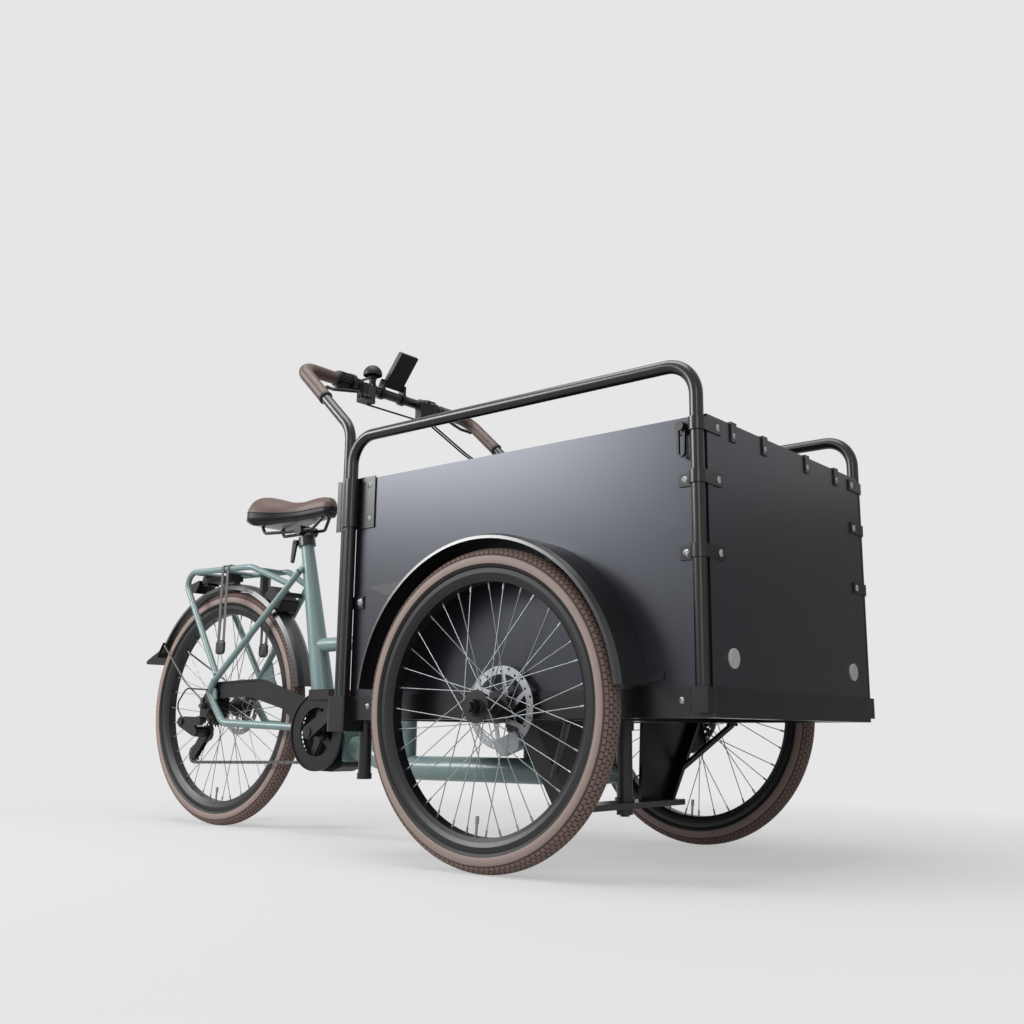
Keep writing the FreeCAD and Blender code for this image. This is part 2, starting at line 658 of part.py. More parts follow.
def chain_course(lean):
    """The wheels in the chain's order and the straight runs between them, for a lean of the cage."""
    guide_low = (guide_top[0] + GUIDE_SPAN * math.cos(lean), guide_top[1] + GUIDE_SPAN * math.sin(lean))
    wheels = [
        (ring_centre, RING_P, 1, RING_TEETH),
        (cog_centre, COG_P, 1, SPROCKETS[CHAIN_SPROCKET]),
        (guide_top, GUIDE_P, -1, GUIDE_TEETH),
        (guide_low, GUIDE_P, 1, GUIDE_TEETH),
    ]
    runs = [tangent(*wheels[i][:3], *wheels[(i + 1) % 4][:3]) for i in range(4)]
    return wheels, runs


def course_pieces(lean):
    """Straight and curved pieces of the course with their lengths in chain pitches."""
    wheels, runs = chain_course(lean)
    pieces = []
    for i in range(4):
        a, b = runs[i]
        pieces.append(("run", a, b, math.hypot(b[0] - a[0], b[1] - a[1]) / CHAIN_PITCH))
        centre, rp, sense, teeth = wheels[(i + 1) % 4]
        start = math.atan2(b[1] - centre[1], b[0] - centre[0])
        nxt = runs[(i + 1) % 4][0]
        end = math.atan2(nxt[1] - centre[1], nxt[0] - centre[0])
        sweep = (sense * (end - start)) % (2 * math.pi)
        pieces.append(("wrap", centre, (rp, start, sense, teeth), sweep * teeth / (2 * math.pi)))
    return pieces


def course_length(lean):
    return sum(piece[3] for piece in course_pieces(lean))


lean_low, lean_high = math.radians(-155), math.radians(-95)
links = 2 * math.floor(course_length(math.radians(-125)) / 2 + 0.5)
for _ in range(60):
    lean = (lean_low + lean_high) / 2
    if (course_length(lean) > links) == (course_length(lean_high) > links):
        lean_high = lean
    else:
        lean_low = lean
cage_lean = lean
pieces = course_pieces(cage_lean)
guide_low = chain_course(cage_lean)[0][3][0]

rollers = []
phases = {}
travelled = 0.0
number = 0
for kind, a, b, count in pieces:
    while number < travelled + count - 1e-6 and number < links:
        along = number - travelled
        if kind == "run":
            f = along / count
            rollers.append((a[0] + f * (b[0] - a[0]), a[1] + f * (b[1] - a[1])))
        else:
            rp, start, sense, teeth = b
            angle = start + sense * along * 2 * math.pi / teeth
            rollers.append((a[0] + rp * math.cos(angle), a[1] + rp * math.sin(angle)))
            phases.setdefault(a, angle)
        number += 1
    travelled += count


def link_shape(wide):
    """One chain link from the origin along X: the wide kind has pins, the narrow kind rollers."""
    y0, y1 = (2.5, 3.3) if wide else (1.35, 2.2)
    ends = ((0.0, 0.0), (CHAIN_PITCH, 0.0))
    sides = [link_plate(ends[0], ends[1], 4.1, 4.099, y, y + y1 - y0) for y in (y0, -y1)]
    if wide:
        return fused(sides + [disc_y(x, 0, 1.5, -3.6, 3.6) for x, _ in ends])
    link = fused(sides + [disc_y(x, 0, ROLLER_R, -1.4, 1.4) for x, _ in ends])
    return link.cut(group([disc_y(x, 0, 2.1, -4, 4) for x, _ in ends]))


wide_link, narrow_link = link_shape(True), link_shape(False)
chain_links = []
for k in range(links):
    p, q = rollers[k], rollers[(k + 1) % links]
    link = (wide_link if k % 2 else narrow_link).copy()
    link.rotate(V(0, 0, 0), V(0, 1, 0), -math.degrees(math.atan2(q[1] - p[1], q[0] - p[0])))
    link.translate(V(p[0], CHAIN_Y, p[1]))
    chain_links.append(link)
nodes["chain"] = group(chain_links)

ring_body = toothed(RING_TEETH, ring_centre, phases[ring_centre], CHAIN_Y - 1, CHAIN_Y + 1, RING_P - 16)
spider = [link_plate(ring_centre, (CRANK_X + (RING_P - 14) * math.cos(k * 1.2566 + 0.5),
                                   CRANK_Z + (RING_P - 14) * math.sin(k * 1.2566 + 0.5)), 14, 8,
                     CHAIN_Y - 5, CHAIN_Y - 0.5) for k in range(5)]
ring_hub = disc_y(CRANK_X, CRANK_Z, 24, CHAIN_Y - 12, CHAIN_Y + 8)
chainring = fused([ring_body, ring_hub] + spider)
chainring = chainring.cut(disc_y(CRANK_X, CRANK_Z, SPINDLE_R + SLIDE_FIT, -90, 0))
nodes["crank_set"] = group(crank_arms + [spindle, chainring])

cassette = []
for k, teeth in enumerate(SPROCKETS):
    y = CHAIN_Y + (k - CHAIN_SPROCKET) * SPROCKET_STEP
    cassette.append(toothed(teeth, cog_centre, phases[cog_centre], y - 0.9, y + 0.9, 12))
carrier = disc_y(REAR_X, REAR_R, 16, CHAIN_Y - 3 * SPROCKET_STEP - 3, CASSETTE_IN)
nodes["cassette"] = fused([carrier] + cassette).cut(
    disc_y(REAR_X, REAR_R, rear_bore, CHAIN_Y - 30, CASSETTE_IN + 1))

for name, centre in (("guide_wheel_top", guide_top), ("guide_wheel_low", guide_low)):
    nodes[name] = toothed(GUIDE_TEETH, centre, phases[centre], CHAIN_Y - 1, CHAIN_Y + 1, 4.3)
cage_sides = [link_plate(guide_top, guide_low, 15, 12, y, y + 2) for y in (CHAIN_Y - 8, CHAIN_Y + 5)]
cage_pins = [disc_y(c[0], c[1], 4.2, CHAIN_Y - 7, CHAIN_Y + 6) for c in (guide_top, guide_low)]
nodes["derailleur_cage"] = fused(cage_sides + cage_pins)

hanger_x, hanger_z = REAR_X - 8, REAR_R - 42
knuckle_y = -STAY_Y - FIT
b_knuckle = rod(V(hanger_x, knuckle_y - 15, hanger_z), V(hanger_x, knuckle_y, hanger_z), 13)
p_at = (guide_top[0] - 4, guide_top[1] + 2)
p_knuckle = disc_y(p_at[0], p_at[1], 15, -82, CHAIN_Y - 8 - FIT)
elbow = (REAR_X - 86, REAR_R - 44)
upper_arm = link_plate((hanger_x, hanger_z), elbow, 11, 15, knuckle_y - 11, knuckle_y - 0.5)
lower_arm = link_plate(elbow, p_at, 15, 13, knuckle_y - 15, knuckle_y - 0.5)
elbow_cap = disc_y(elbow[0], elbow[1], 11, knuckle_y - 19, knuckle_y)
CABLE_R = 2.2
cable = bent_tube(
    [V(REAR_X + 26, -STAY_Y - 13, REAR_R + 44), V(REAR_X - 72, -STAY_Y - 13, REAR_R + 50),
     V(REAR_X - 122, -STAY_Y - 10, REAR_R + 2), V(elbow[0], -STAY_Y - 8, elbow[1] + 6)], CABLE_R, [34, 24])
nodes["derailleur_body"] = fused([b_knuckle, p_knuckle, upper_arm, lower_arm, elbow_cap, cable])

GUARD_Y = -64.0
GUARD_R = RING_P + 22
guard_ring = disc_y(CRANK_X, CRANK_Z, GUARD_R, GUARD_Y, GUARD_Y + 4)
guard_outline = [
    (REAR_X + 10, CRANK_Z + 92), (REAR_X + 10, CRANK_Z + 137), (CRANK_X - 230, CRANK_Z + 142),
    (CRANK_X - 62, CRANK_Z + 92), (CRANK_X - 8, CRANK_Z + 60), (CRANK_X - 60, CRANK_Z + 10),
    (CRANK_X - 140, CRANK_Z + 60), (CRANK_X - 280, CRANK_Z + 94),
]
guard_tail = plate_y(guard_outline, GUARD_Y, GUARD_Y + 4, [12, 26, 160, 30, 7, 7, 60, 160])
guard_rib = plate_y(guard_outline, GUARD_Y - 3, GUARD_Y + 1, [12, 26, 160, 30, 7, 7, 60, 160])
guard_rib = guard_rib.cut(moved(guard_rib, 0, 0, -5)).cut(disc_y(CRANK_X, CRANK_Z, GUARD_R - 4, GUARD_Y - 9, 0))
guard_rib = guard_rib.cut(block(REAR_X, REAR_X + 64, GUARD_Y - 9, 0, CRANK_Z, CRANK_Z + 200))
guard_foot = disc_y(REAR_X + 40, REAR_R + 36, 5, -STAY_Y + 6 + FIT, GUARD_Y + 1)
guard = fused([guard_ring, guard_tail, guard_rib, guard_foot])
guard_lip = ring_y(CRANK_X, CRANK_Z, GUARD_R, GUARD_R - 4, GUARD_Y - 3, GUARD_Y + 1)
guard_window = disc_y(CRANK_X, CRANK_Z, RING_P - 15, -100, 0)
nodes["chain_guard"] = guard.fuse(guard_lip).cut(guard_window).removeSplitter()

# Rear axle and rear brake
axle_ends = [hex_y(REAR_X, REAR_R, 17, s * (STAY_Y + FIT), s * (STAY_Y + 11)) for s in (-1, 1)]
axle = rod(V(REAR_X, -STAY_Y - 16, REAR_R), V(REAR_X, STAY_Y + 16, REAR_R), REAR_AXLE_R)
nodes["rear_axle"] = group([fused([axle] + axle_ends), fender_stay, mirrored(fender_stay)])


def caliper(x, z, angle, disc_y0, disc_y1):
    """A two-piston caliper over a disc, whose slot lies along X before it is turned."""
    outline = [(-26, -14), (26, -14), (30, 4), (22, 20), (-22, 20), (-30, 4)]
    body = plate_y(outline, disc_y0 - 9, disc_y1 + 11, 5)
    slot = block(-40, 40, disc_y0 - 1.2, disc_y1 + 1.2, -30, 14)
    pistons = [disc_y(0, 1, 11, disc_y1 + 10, disc_y1 + 13)]
    out = fused([body] + pistons).cut(slot)
    out.rotate(V(0, 0, 0), V(0, 1, 0), angle)
    out.translate(V(x, 0, z))
    return out


REAR_CALIPER = math.radians(40)
cal_x = REAR_X + 70 * math.cos(REAR_CALIPER)
cal_z = REAR_R + 70 * math.sin(REAR_CALIPER)
lug_x, lug_z = cal_x + 14 * math.cos(REAR_CALIPER), cal_z + 14 * math.sin(REAR_CALIPER)
caliper_lug = disc_y(lug_x, lug_z, 6, 56, STAY_Y - 8 - FIT)
rear_caliper = caliper(cal_x, cal_z, 90 - math.degrees(REAR_CALIPER), 47 + FIT, 49 + FIT)
nodes["rear_caliper"] = rear_caliper.fuse(caliper_lug).removeSplitter()

# Seat post and saddle
CLAMP_H = 26.0
collar_low = seat_top.sub(V(up_seat).multiply(CLAMP_H - 4))
collar = Part.makeCone(POST_R + 10, POST_R + 9, CLAMP_H, collar_low, up_seat)
collar = collar.cut(Part.makeCone(POST_R + 4.6, POST_R + 3.4 + FIT, CLAMP_H + 2,
                                  seat_top.sub(V(up_seat).multiply(CLAMP_H - 3)), up_seat))
lip = rod(seat_top.add(V(up_seat).multiply(FIT)), seat_top.add(V(up_seat).multiply(4)), POST_R + 9)
lip = lip.cut(rod(seat_top.sub(up_seat), seat_top.add(V(up_seat).multiply(6)), POST_R + FIT))
collar = collar.fuse(lip).removeSplitter()
ear = seat_top.add(V(up_seat).multiply(-8)).add(V(-POST_R - 15, 0, -2))
ear_block = block(ear.x - 10, ear.x + 9, -11, 11, ear.z - 8, ear.z + 8)
ear_room = rod(seat_top.sub(V(up_seat).multiply(60)), seat_top.add(V(up_seat).multiply(20)), POST_R + 8)
ear_block = ear_block.cut(ear_room)
LEVER_X = ear.x - 4
nodes["seat_clamp"] = collar.fuse(ear_block).cut(disc_y(LEVER_X, ear.z, 3 + FIT, -30, 30)).removeSplitter()
lever_pin = rod(V(LEVER_X, -20, ear.z), V(LEVER_X, 14, ear.z), 3)
lever_nut = rod(V(LEVER_X, 11 + FIT, ear.z), V(LEVER_X, 18, ear.z), 6)
lever_blade = link_plate((LEVER_X, ear.z), (LEVER_X - 8, ear.z - 52), 8, 5, -18, -11 - FIT)
nodes["seat_lever"] = fused([lever_pin, lever_nut, lever_blade])

POST_OUT = 14.0
post_top = seat_top.add(V(up_seat).multiply(POST_OUT))
post = rod(seat_top.sub(V(up_seat).multiply(230)), post_top, POST_R)
RAIL_Y = 22.0
SADDLE_RAIL_R = 4.5
rail_z = post_top.z + 8
yoke_head = rod(V(post_top.x, -32, rail_z), V(post_top.x, 32, rail_z), 14)
rail_hole = rod(V(post_top.x - 60, RAIL_Y, rail_z), V(post_top.x + 60, RAIL_Y, rail_z), SADDLE_RAIL_R + FIT)
nodes["seat_post"] = post.fuse(yoke_head).removeSplitter().cut(both_sides(rail_hole))

SADDLE_NOSE = CRANK_X - 43
SADDLE_LEN = 285.0
SADDLE_BASE = rail_z + 38


def saddle_section(f, width, low, crown):
    """A section across the saddle at a share f of its length from the nose: flat below and arched above."""
    x = SADDLE_NOSE - f * SADDLE_LEN
    w = width / 2
    a, b = V(x, -w, low), V(x, w, low)
    side = low + crown * 0.62
    p, q = V(x, -w * 0.9, side), V(x, w * 0.9, side)
    edges = [
        Part.makeLine(b, a),
        Part.Arc(a, V(x, -w * 1.02, low + crown * 0.3), p).toShape(),
        Part.Arc(p, V(x, 0, low + crown), q).toShape(),
        Part.Arc(q, V(x, w * 1.02, low + crown * 0.3), b).toShape(),
    ]
    return Part.Wire(edges)


saddle_table = (
    (0.00, 34, 8, 28), (0.05, 50, 2, 46), (0.20, 56, 0, 52), (0.40, 76, -3, 51), (0.58, 120, -6, 57),
    (0.74, 178, -9, 72), (0.88, 206, -8, 81), (0.96, 192, -2, 72), (1.00, 160, 10, 46),
)
cover_sections = [saddle_section(f, w, SADDLE_BASE + low, crown) for f, w, low, crown in saddle_table]
cover = Part.makeLoft(cover_sections, True)
nodes["saddle_cover"] = cover
base_table = [(f, w * 0.9, low - 9 - FIT, 9) for f, w, low, _ in saddle_table[1:-1]]


def base_section(f, width, low, height):
    x = SADDLE_NOSE - f * SADDLE_LEN
    w = width / 2
    pts = [V(x, -w, low + height), V(x, -w * 0.8, low), V(x, w * 0.8, low), V(x, w, low + height)]
    return Part.makePolygon(pts + pts[:1])


base_sections = [base_section(f, w, SADDLE_BASE + low, h) for f, w, low, h in base_table]
saddle_base = Part.makeLoft(base_sections, True, True)
saddle_base = saddle_base.cut(moved(cover, 0, 0, -FIT))
saddle_rear = SADDLE_NOSE - SADDLE_LEN
rail = bent_tube(
    [V(SADDLE_NOSE - 26, 10, SADDLE_BASE - 4), V(post_top.x + 52, RAIL_Y, rail_z),
     V(post_top.x - 44, RAIL_Y, rail_z), V(saddle_rear + 34, 34, rail_z + 4),
     V(saddle_rear + 24, 36, SADDLE_BASE - 10)], SADDLE_RAIL_R, 14)
rail = rail.cut(saddle_base)
nodes["saddle_frame"] = group([saddle_base, rail, mirrored(rail)])

# Lower rail frame of the box, with lugs for the posts
rail_x0, rail_x1 = BOX_REAR - RAIL_PROUD, BOX_FRONT + RAIL_PROUD
rail_y = SIDE_Y + RAIL_PROUD
outer = [(rail_x0, -rail_y), (rail_x1, -rail_y), (rail_x1, rail_y), (rail_x0, rail_y)]
rails = plate_z(outer, RAIL_LOW, RAIL_TOP, 6).cut(
    block(rail_x0 + RAIL_W, rail_x1 - RAIL_W, -rail_y + RAIL_W, rail_y - RAIL_W, RAIL_LOW - 1, RAIL_TOP + 1))
steer_beam = block(STEER_X - 48, STEER_X + 48, -rail_y + 20, rail_y - 20, RAIL_LOW, RAIL_TOP - 3)
POST_FRONT_X = BOX_FRONT - HOOP_R
POST_REAR_X = BOX_REAR - 6
LEG_X = BOX_REAR - 46
LEG_Y = SIDE_Y - 12
front_lug = plate_z([(POST_FRONT_X - 17, rail_y - 8), (POST_FRONT_X + 17, rail_y - 8),
                     (POST_FRONT_X + 17, POST_Y + 15), (POST_FRONT_X - 17, POST_Y + 15)],
                    RAIL_LOW + 8, RAIL_TOP, 4)
rear_lug = plate_z([(LEG_X - 18, LEG_Y - 18), (POST_REAR_X + 17, LEG_Y - 18), (POST_REAR_X + 17, POST_Y + 15),
                    (LEG_X + 10, POST_Y + 15), (LEG_X - 18, LEG_Y + 18)], RAIL_LOW - 24, RAIL_TOP, 5)
lugs = [front_lug, mirrored(front_lug), rear_lug, mirrored(rear_lug)]
kingpin_hole = rod(V(STEER_X, 0, RAIL_LOW - 1), V(STEER_X, 0, RAIL_TOP + 1), KINGPIN_R + FIT)
SUPPORT_R = 14.0
support_x = BOX_REAR + 6
support_y = SIDE_Y - 45
support_low = V(support_x, support_y, RAIL_LOW - 125)
support = rod(support_low, V(support_x, support_y, RAIL_LOW + 5), SUPPORT_R)
support = support.fuse(Part.makeCylinder(SUPPORT_R + 2, 13, support_low))
rail_frame = fused([rails, steer_beam, support, mirrored(support)] + lugs)
nodes["rail_frame"] = rail_frame.cut(kingpin_hole)

BRIDGE_LOW = HEAD_LOW - 21
BRIDGE_TOP = HEAD_LOW - 9
CRADLE_X = STEER_X - 19
CRADLE_FOOT = SIDE_Y - 142
CRADLE_TOP = SIDE_Y - 14
cradle_z = RAIL_LOW - FIT
cradle_leg = plate_x([(CRADLE_FOOT - 102, BRIDGE_LOW), (CRADLE_FOOT, BRIDGE_LOW), (CRADLE_TOP, cradle_z),
                      (CRADLE_FOOT - 92, cradle_z)], CRADLE_X - 4, CRADLE_X + 4, 6)
cradle_edge = plate_x([(CRADLE_FOOT - 12, BRIDGE_LOW), (CRADLE_FOOT, BRIDGE_LOW), (CRADLE_TOP, cradle_z),
                       (CRADLE_TOP - 12, cradle_z)], CRADLE_X - 22, CRADLE_X + 22, 2)
bridge = plate_z([(STEER_X - 42, -CRADLE_FOOT), (STEER_X + 38, -CRADLE_FOOT), (STEER_X + 38, CRADLE_FOOT),
                  (STEER_X - 42, CRADLE_FOOT)], BRIDGE_LOW, BRIDGE_TOP, 10)
strut_x, strut_y = STEER_X + 86, rail_y - RAIL_W / 2
cradle_strut = rod(V(CRADLE_X + 8, CRADLE_FOOT + 44, BRIDGE_LOW + 68), V(strut_x, strut_y, cradle_z - 4), 7)
strut_pad = rod(V(strut_x, strut_y, cradle_z - 7), V(strut_x, strut_y, cradle_z), 13)
cradle_strut = cradle_strut.cut(block(STEER_X, strut_x + 40, 0, rail_y, cradle_z, RAIL_TOP))
cradle_side = fused([cradle_leg, cradle_edge, cradle_strut, strut_pad])
cradle = fused([bridge, cradle_side, mirrored(cradle_side)])
nodes["cradle"] = cradle.cut(rod(V(STEER_X, 0, BRIDGE_LOW - 1), V(STEER_X, 0, BRIDGE_TOP + 1), KINGPIN_R + FIT))

NUT_H = 14.0
pin = rod(V(STEER_X, 0, BRIDGE_LOW - NUT_H - 4), V(STEER_X, 0, RAIL_TOP - 2), KINGPIN_R)
nut_pts = [(STEER_X + 19 * math.cos(k * math.pi / 3), 19 * math.sin(k * math.pi / 3)) for k in range(6)]
nut = plate_z(nut_pts, BRIDGE_LOW - NUT_H - FIT, BRIDGE_LOW - FIT)
kingpin = pin.fuse(nut).removeSplitter()


def cup(z0, z1):
    ring = rod(V(STEER_X, 0, z0), V(STEER_X, 0, z1), HEAD_R + 4)
    return ring.cut(rod(V(STEER_X, 0, z0 - 1), V(STEER_X, 0, z1 + 1), KINGPIN_R + FIT))


nodes["kingpin"] = group([kingpin, cup(BRIDGE_TOP + FIT, HEAD_LOW - FIT), cup(HEAD_TOP + FIT, RAIL_LOW - FIT)])

# Box panels and floor
panel_z0 = RAIL_TOP + FIT
inner_x0, inner_x1 = BOX_REAR + PANEL_T, BOX_FRONT - PANEL_T
side_panel = block(inner_x0 + FIT, inner_x1 - FIT, SIDE_Y - PANEL_T, SIDE_Y, panel_z0, BOX_TOP)
nodes["side_panels"] = both_sides(side_panel)
nodes["front_panel"] = block(inner_x1, BOX_FRONT, -SIDE_Y, SIDE_Y, panel_z0, BOX_TOP)
nodes["rear_panel"] = block(BOX_REAR, inner_x0, -SIDE_Y, SIDE_Y, panel_z0, BOX_TOP)
FLOOR_T = 12.0
nodes["floor_panel"] = block(inner_x0 + FIT, inner_x1 - FIT, -SIDE_Y + PANEL_T + FIT, SIDE_Y - PANEL_T - FIT,
                             panel_z0, panel_z0 + FLOOR_T)

# Side hoops
hoop_foot = RAIL_TOP + FIT
hoop = bent_tube(
    [V(POST_FRONT_X, POST_Y, hoop_foot), V(POST_FRONT_X, POST_Y, HOOP_TOP), V(POST_REAR_X, POST_Y, HOOP_TOP),
     V(POST_REAR_X, POST_Y, hoop_foot)], HOOP_R, HOOP_BEND)
nodes["side_hoops"] = both_sides(hoop)

# Handlebar with grips
bar_points = [V(LEG_X, LEG_Y, hoop_foot), V(LEG_X, LEG_Y, BAR_BEND_Z), V(BAR_X, BAR_HALF, BAR_Z),
              V(BAR_X, -BAR_HALF, BAR_Z), V(LEG_X, -LEG_Y, BAR_BEND_Z), V(LEG_X, -LEG_Y, hoop_foot)]
nodes["handlebar"] = bent_tube(bar_points, BAR_R, [70, 48, 48, 70])
bar_corner = V(BAR_X, BAR_HALF, BAR_Z)
slope = unit(bar_corner, V(LEG_X, LEG_Y, BAR_BEND_Z))
GRIP_IN = BAR_HALF - 118
grip_path = [V(BAR_X, GRIP_IN, BAR_Z), bar_corner, bar_corner.add(V(slope).multiply(150))]
grip = bent_tube(grip_path, GRIP_R, 48).cut(bent_tube(grip_path, BAR_R + SLIDE_FIT, 48))
nodes["grips"] = both_sides(grip)


def on_bar(y0, y1, r_out, r_in=BAR_R + SLIDE_FIT):
    ring = rod(V(BAR_X, y0, BAR_Z), V(BAR_X, y1, BAR_Z), r_out)
    return ring.cut(rod(V(BAR_X, y0 - 1, BAR_Z), V(BAR_X, y1 + 1, BAR_Z), r_in))


SHIFTER_W = 52.0
SHIFTER_R = 21.0
shifter_y = -GRIP_IN + 1
ribs = []
for k in range(18):
    a = k * math.pi / 9
    rib_x, rib_z = BAR_X + SHIFTER_R * math.cos(a), BAR_Z + SHIFTER_R * math.sin(a)
    ribs.append(disc_y(rib_x, rib_z, 1.8, shifter_y + 4, shifter_y + SHIFTER_W - 16))
shifter_core = on_bar(shifter_y, shifter_y + SHIFTER_W - 14, SHIFTER_R)
nodes["twist_shifter"] = fused([shifter_core] + ribs).cut(
    rod(V(BAR_X, shifter_y - 1, BAR_Z), V(BAR_X, shifter_y + SHIFTER_W, BAR_Z), BAR_R + SLIDE_FIT))
housing_y0, housing_y1 = shifter_y + SHIFTER_W - 13, shifter_y + SHIFTER_W + 2
cable_stop = block(BAR_X + 10, BAR_X + 28, housing_y0, housing_y1, BAR_Z - 16, BAR_Z - 2)
cable_stop = cable_stop.cut(disc_y(BAR_X, BAR_Z, BAR_R + 4, housing_y0 - 1, housing_y1 + 1))
shifter_housing = on_bar(housing_y0, housing_y1, SHIFTER_R + 3).fuse(cable_stop).removeSplitter()

# Brake levers with their clamps, drawn for the left hand
LEVER_PIVOT_X = BAR_X + 38
LEVER_PIVOT_Z = BAR_Z - 38
BODY_LOW = BAR_Z - 48
BODY_TOP = BAR_Z - 4
CLAMP_Y = GRIP_IN - 74
clamp_ring = on_bar(CLAMP_Y - 8, CLAMP_Y + 8, 18)
reservoir = plate_z([(BAR_X + 6, CLAMP_Y - 30), (BAR_X + 34, CLAMP_Y - 34), (LEVER_PIVOT_X + 8, CLAMP_Y + 2),
                     (LEVER_PIVOT_X + 8, CLAMP_Y + 16), (BAR_X + 30, CLAMP_Y + 18), (BAR_X + 6, CLAMP_Y + 8)],
                    BODY_LOW, BODY_TOP, 4)
reservoir = reservoir.cut(rod(V(BAR_X, -400, BAR_Z), V(BAR_X, 400, BAR_Z), BAR_R + SLIDE_FIT))
lever_slot = Part.makeCylinder(17, 9, V(LEVER_PIVOT_X, CLAMP_Y + 8, LEVER_PIVOT_Z - 4.5), V(0, 0, 1))
slot_mouth = block(LEVER_PIVOT_X - 17, LEVER_PIVOT_X + 40, CLAMP_Y + 8, CLAMP_Y + 60,
                   LEVER_PIVOT_Z - 4.5, LEVER_PIVOT_Z + 4.5)
lever_pin_post = Part.makeCylinder(3, BODY_TOP - BODY_LOW, V(LEVER_PIVOT_X, CLAMP_Y + 8, BODY_LOW), V(0, 0, 1))
clamp = fused([clamp_ring, reservoir]).cut(lever_slot).cut(slot_mouth).fuse(
    lever_pin_post.common(reservoir)).removeSplitter()
bar_clamps = [shifter_housing, clamp, mirrored(clamp)]
lever_points = [V(LEVER_PIVOT_X, CLAMP_Y + 16, LEVER_PIVOT_Z),
                V(LEVER_PIVOT_X + 14, CLAMP_Y + 48, LEVER_PIVOT_Z),
                V(LEVER_PIVOT_X + 4, CLAMP_Y + 118, LEVER_PIVOT_Z - 10),
                V(LEVER_PIVOT_X + 14, CLAMP_Y + 146, LEVER_PIVOT_Z - 14)]
blade = bent_tube(lever_points, 4.2, [22, 22])
eye = Part.makeCylinder(13, 8, V(LEVER_PIVOT_X, CLAMP_Y + 8, LEVER_PIVOT_Z - 4), V(0, 0, 1))
ball = Part.makeSphere(5.5, lever_points[-1])
lever = fused([eye, blade, ball]).cut(
    Part.makeCylinder(3 + SLIDE_FIT, 20, V(LEVER_PIVOT_X, CLAMP_Y + 8, LEVER_PIVOT_Z - 10), V(0, 0, 1)))
nodes["brake_lever_left"] = lever
nodes["brake_lever_right"] = mirrored(lever)

# Bell, display and control unit
BELL_Y = -CLAMP_Y + 48
BELL_Z = BAR_Z + 41
bell_ring = on_bar(BELL_Y - 7, BELL_Y + 7, 17)
bell_foot = rod(V(BAR_X + 4, BELL_Y, BAR_Z + 14), V(BAR_X + 4, BELL_Y, BELL_Z - 3), 9)
BELL_R = 25.0
bell_room = block(BAR_X - 40, BAR_X + 40, BELL_Y - 40, BELL_Y + 40, BELL_Z - 3, BELL_Z + 40)
bell_centre = V(BAR_X + 4, BELL_Y, BELL_Z)
dome = Part.makeSphere(BELL_R, bell_centre).common(bell_room)
hollow = Part.makeSphere(BELL_R - 2.5, bell_centre).common(moved(bell_room, 0, 0, -1))
stem = rod(V(BAR_X + 4, BELL_Y, BELL_Z - 7), V(BAR_X + 4, BELL_Y, BELL_Z + 24), 3)
bell = fused([bell_ring, bell_foot, dome.cut(hollow), stem])
bar_clamps.append(bell.cut(rod(V(BAR_X, -400, BAR_Z), V(BAR_X, 400, BAR_Z), BAR_R + SLIDE_FIT)))
bell_lever_z = BELL_Z - 10
striker = link_plate((0, 0), (-34, 0), 6, 5, 0, 3)
striker.rotate(V(0, 0, 0), V(1, 0, 0), 90)
striker.translate(V(BAR_X + 4, BELL_Y, bell_lever_z + 1.5))
striker_base = V(BAR_X + 4, BELL_Y, bell_lever_z - 1.5)
striker = striker.fuse(Part.makeCylinder(12, 3, striker_base)).cut(
    Part.makeCylinder(9 + SLIDE_FIT, 9, striker_base.sub(V(0, 0, 3))))
nodes["bell_lever"] = striker.removeSplitter()

DISPLAY_Y = 2.0
DISPLAY_W = 62.0
DISPLAY_H = 104.0
DISPLAY_T = 13.0
DISPLAY_TILT = 52.0
hinge_x, hinge_z = BAR_X + 8, BAR_Z + 30
mount_ys = (DISPLAY_Y - 38, DISPLAY_Y + 38)
mount_rings = [on_bar(y - 6, y + 6, 17) for y in mount_ys]
mount_ears = [link_plate((BAR_X, BAR_Z), (hinge_x, hinge_z), 14, 7, y - 4, y + 4) for y in mount_ys]
hinge_pin = disc_y(hinge_x, hinge_z, 3, DISPLAY_Y - 42, DISPLAY_Y + 42)
mount = fused(mount_rings + mount_ears + [hinge_pin])
bar_clamps.append(mount.cut(rod(V(BAR_X, -400, BAR_Z), V(BAR_X, 400, BAR_Z), BAR_R + SLIDE_FIT)))
case_ends = (-12, DISPLAY_H - 12)
case = plate_y([(case_ends[0], -DISPLAY_T / 2), (case_ends[1], -DISPLAY_T / 2), (case_ends[1], DISPLAY_T / 2),
                (case_ends[0], DISPLAY_T / 2)], DISPLAY_Y - DISPLAY_W / 2, DISPLAY_Y + DISPLAY_W / 2, 4)
case = case.cut(disc_y(0, 0, 3 + SLIDE_FIT, DISPLAY_Y - 60, DISPLAY_Y + 60))
case.rotate(V(0, 0, 0), V(0, 1, 0), -DISPLAY_TILT)
case.translate(V(hinge_x, 0, hinge_z))
nodes["display"] = case

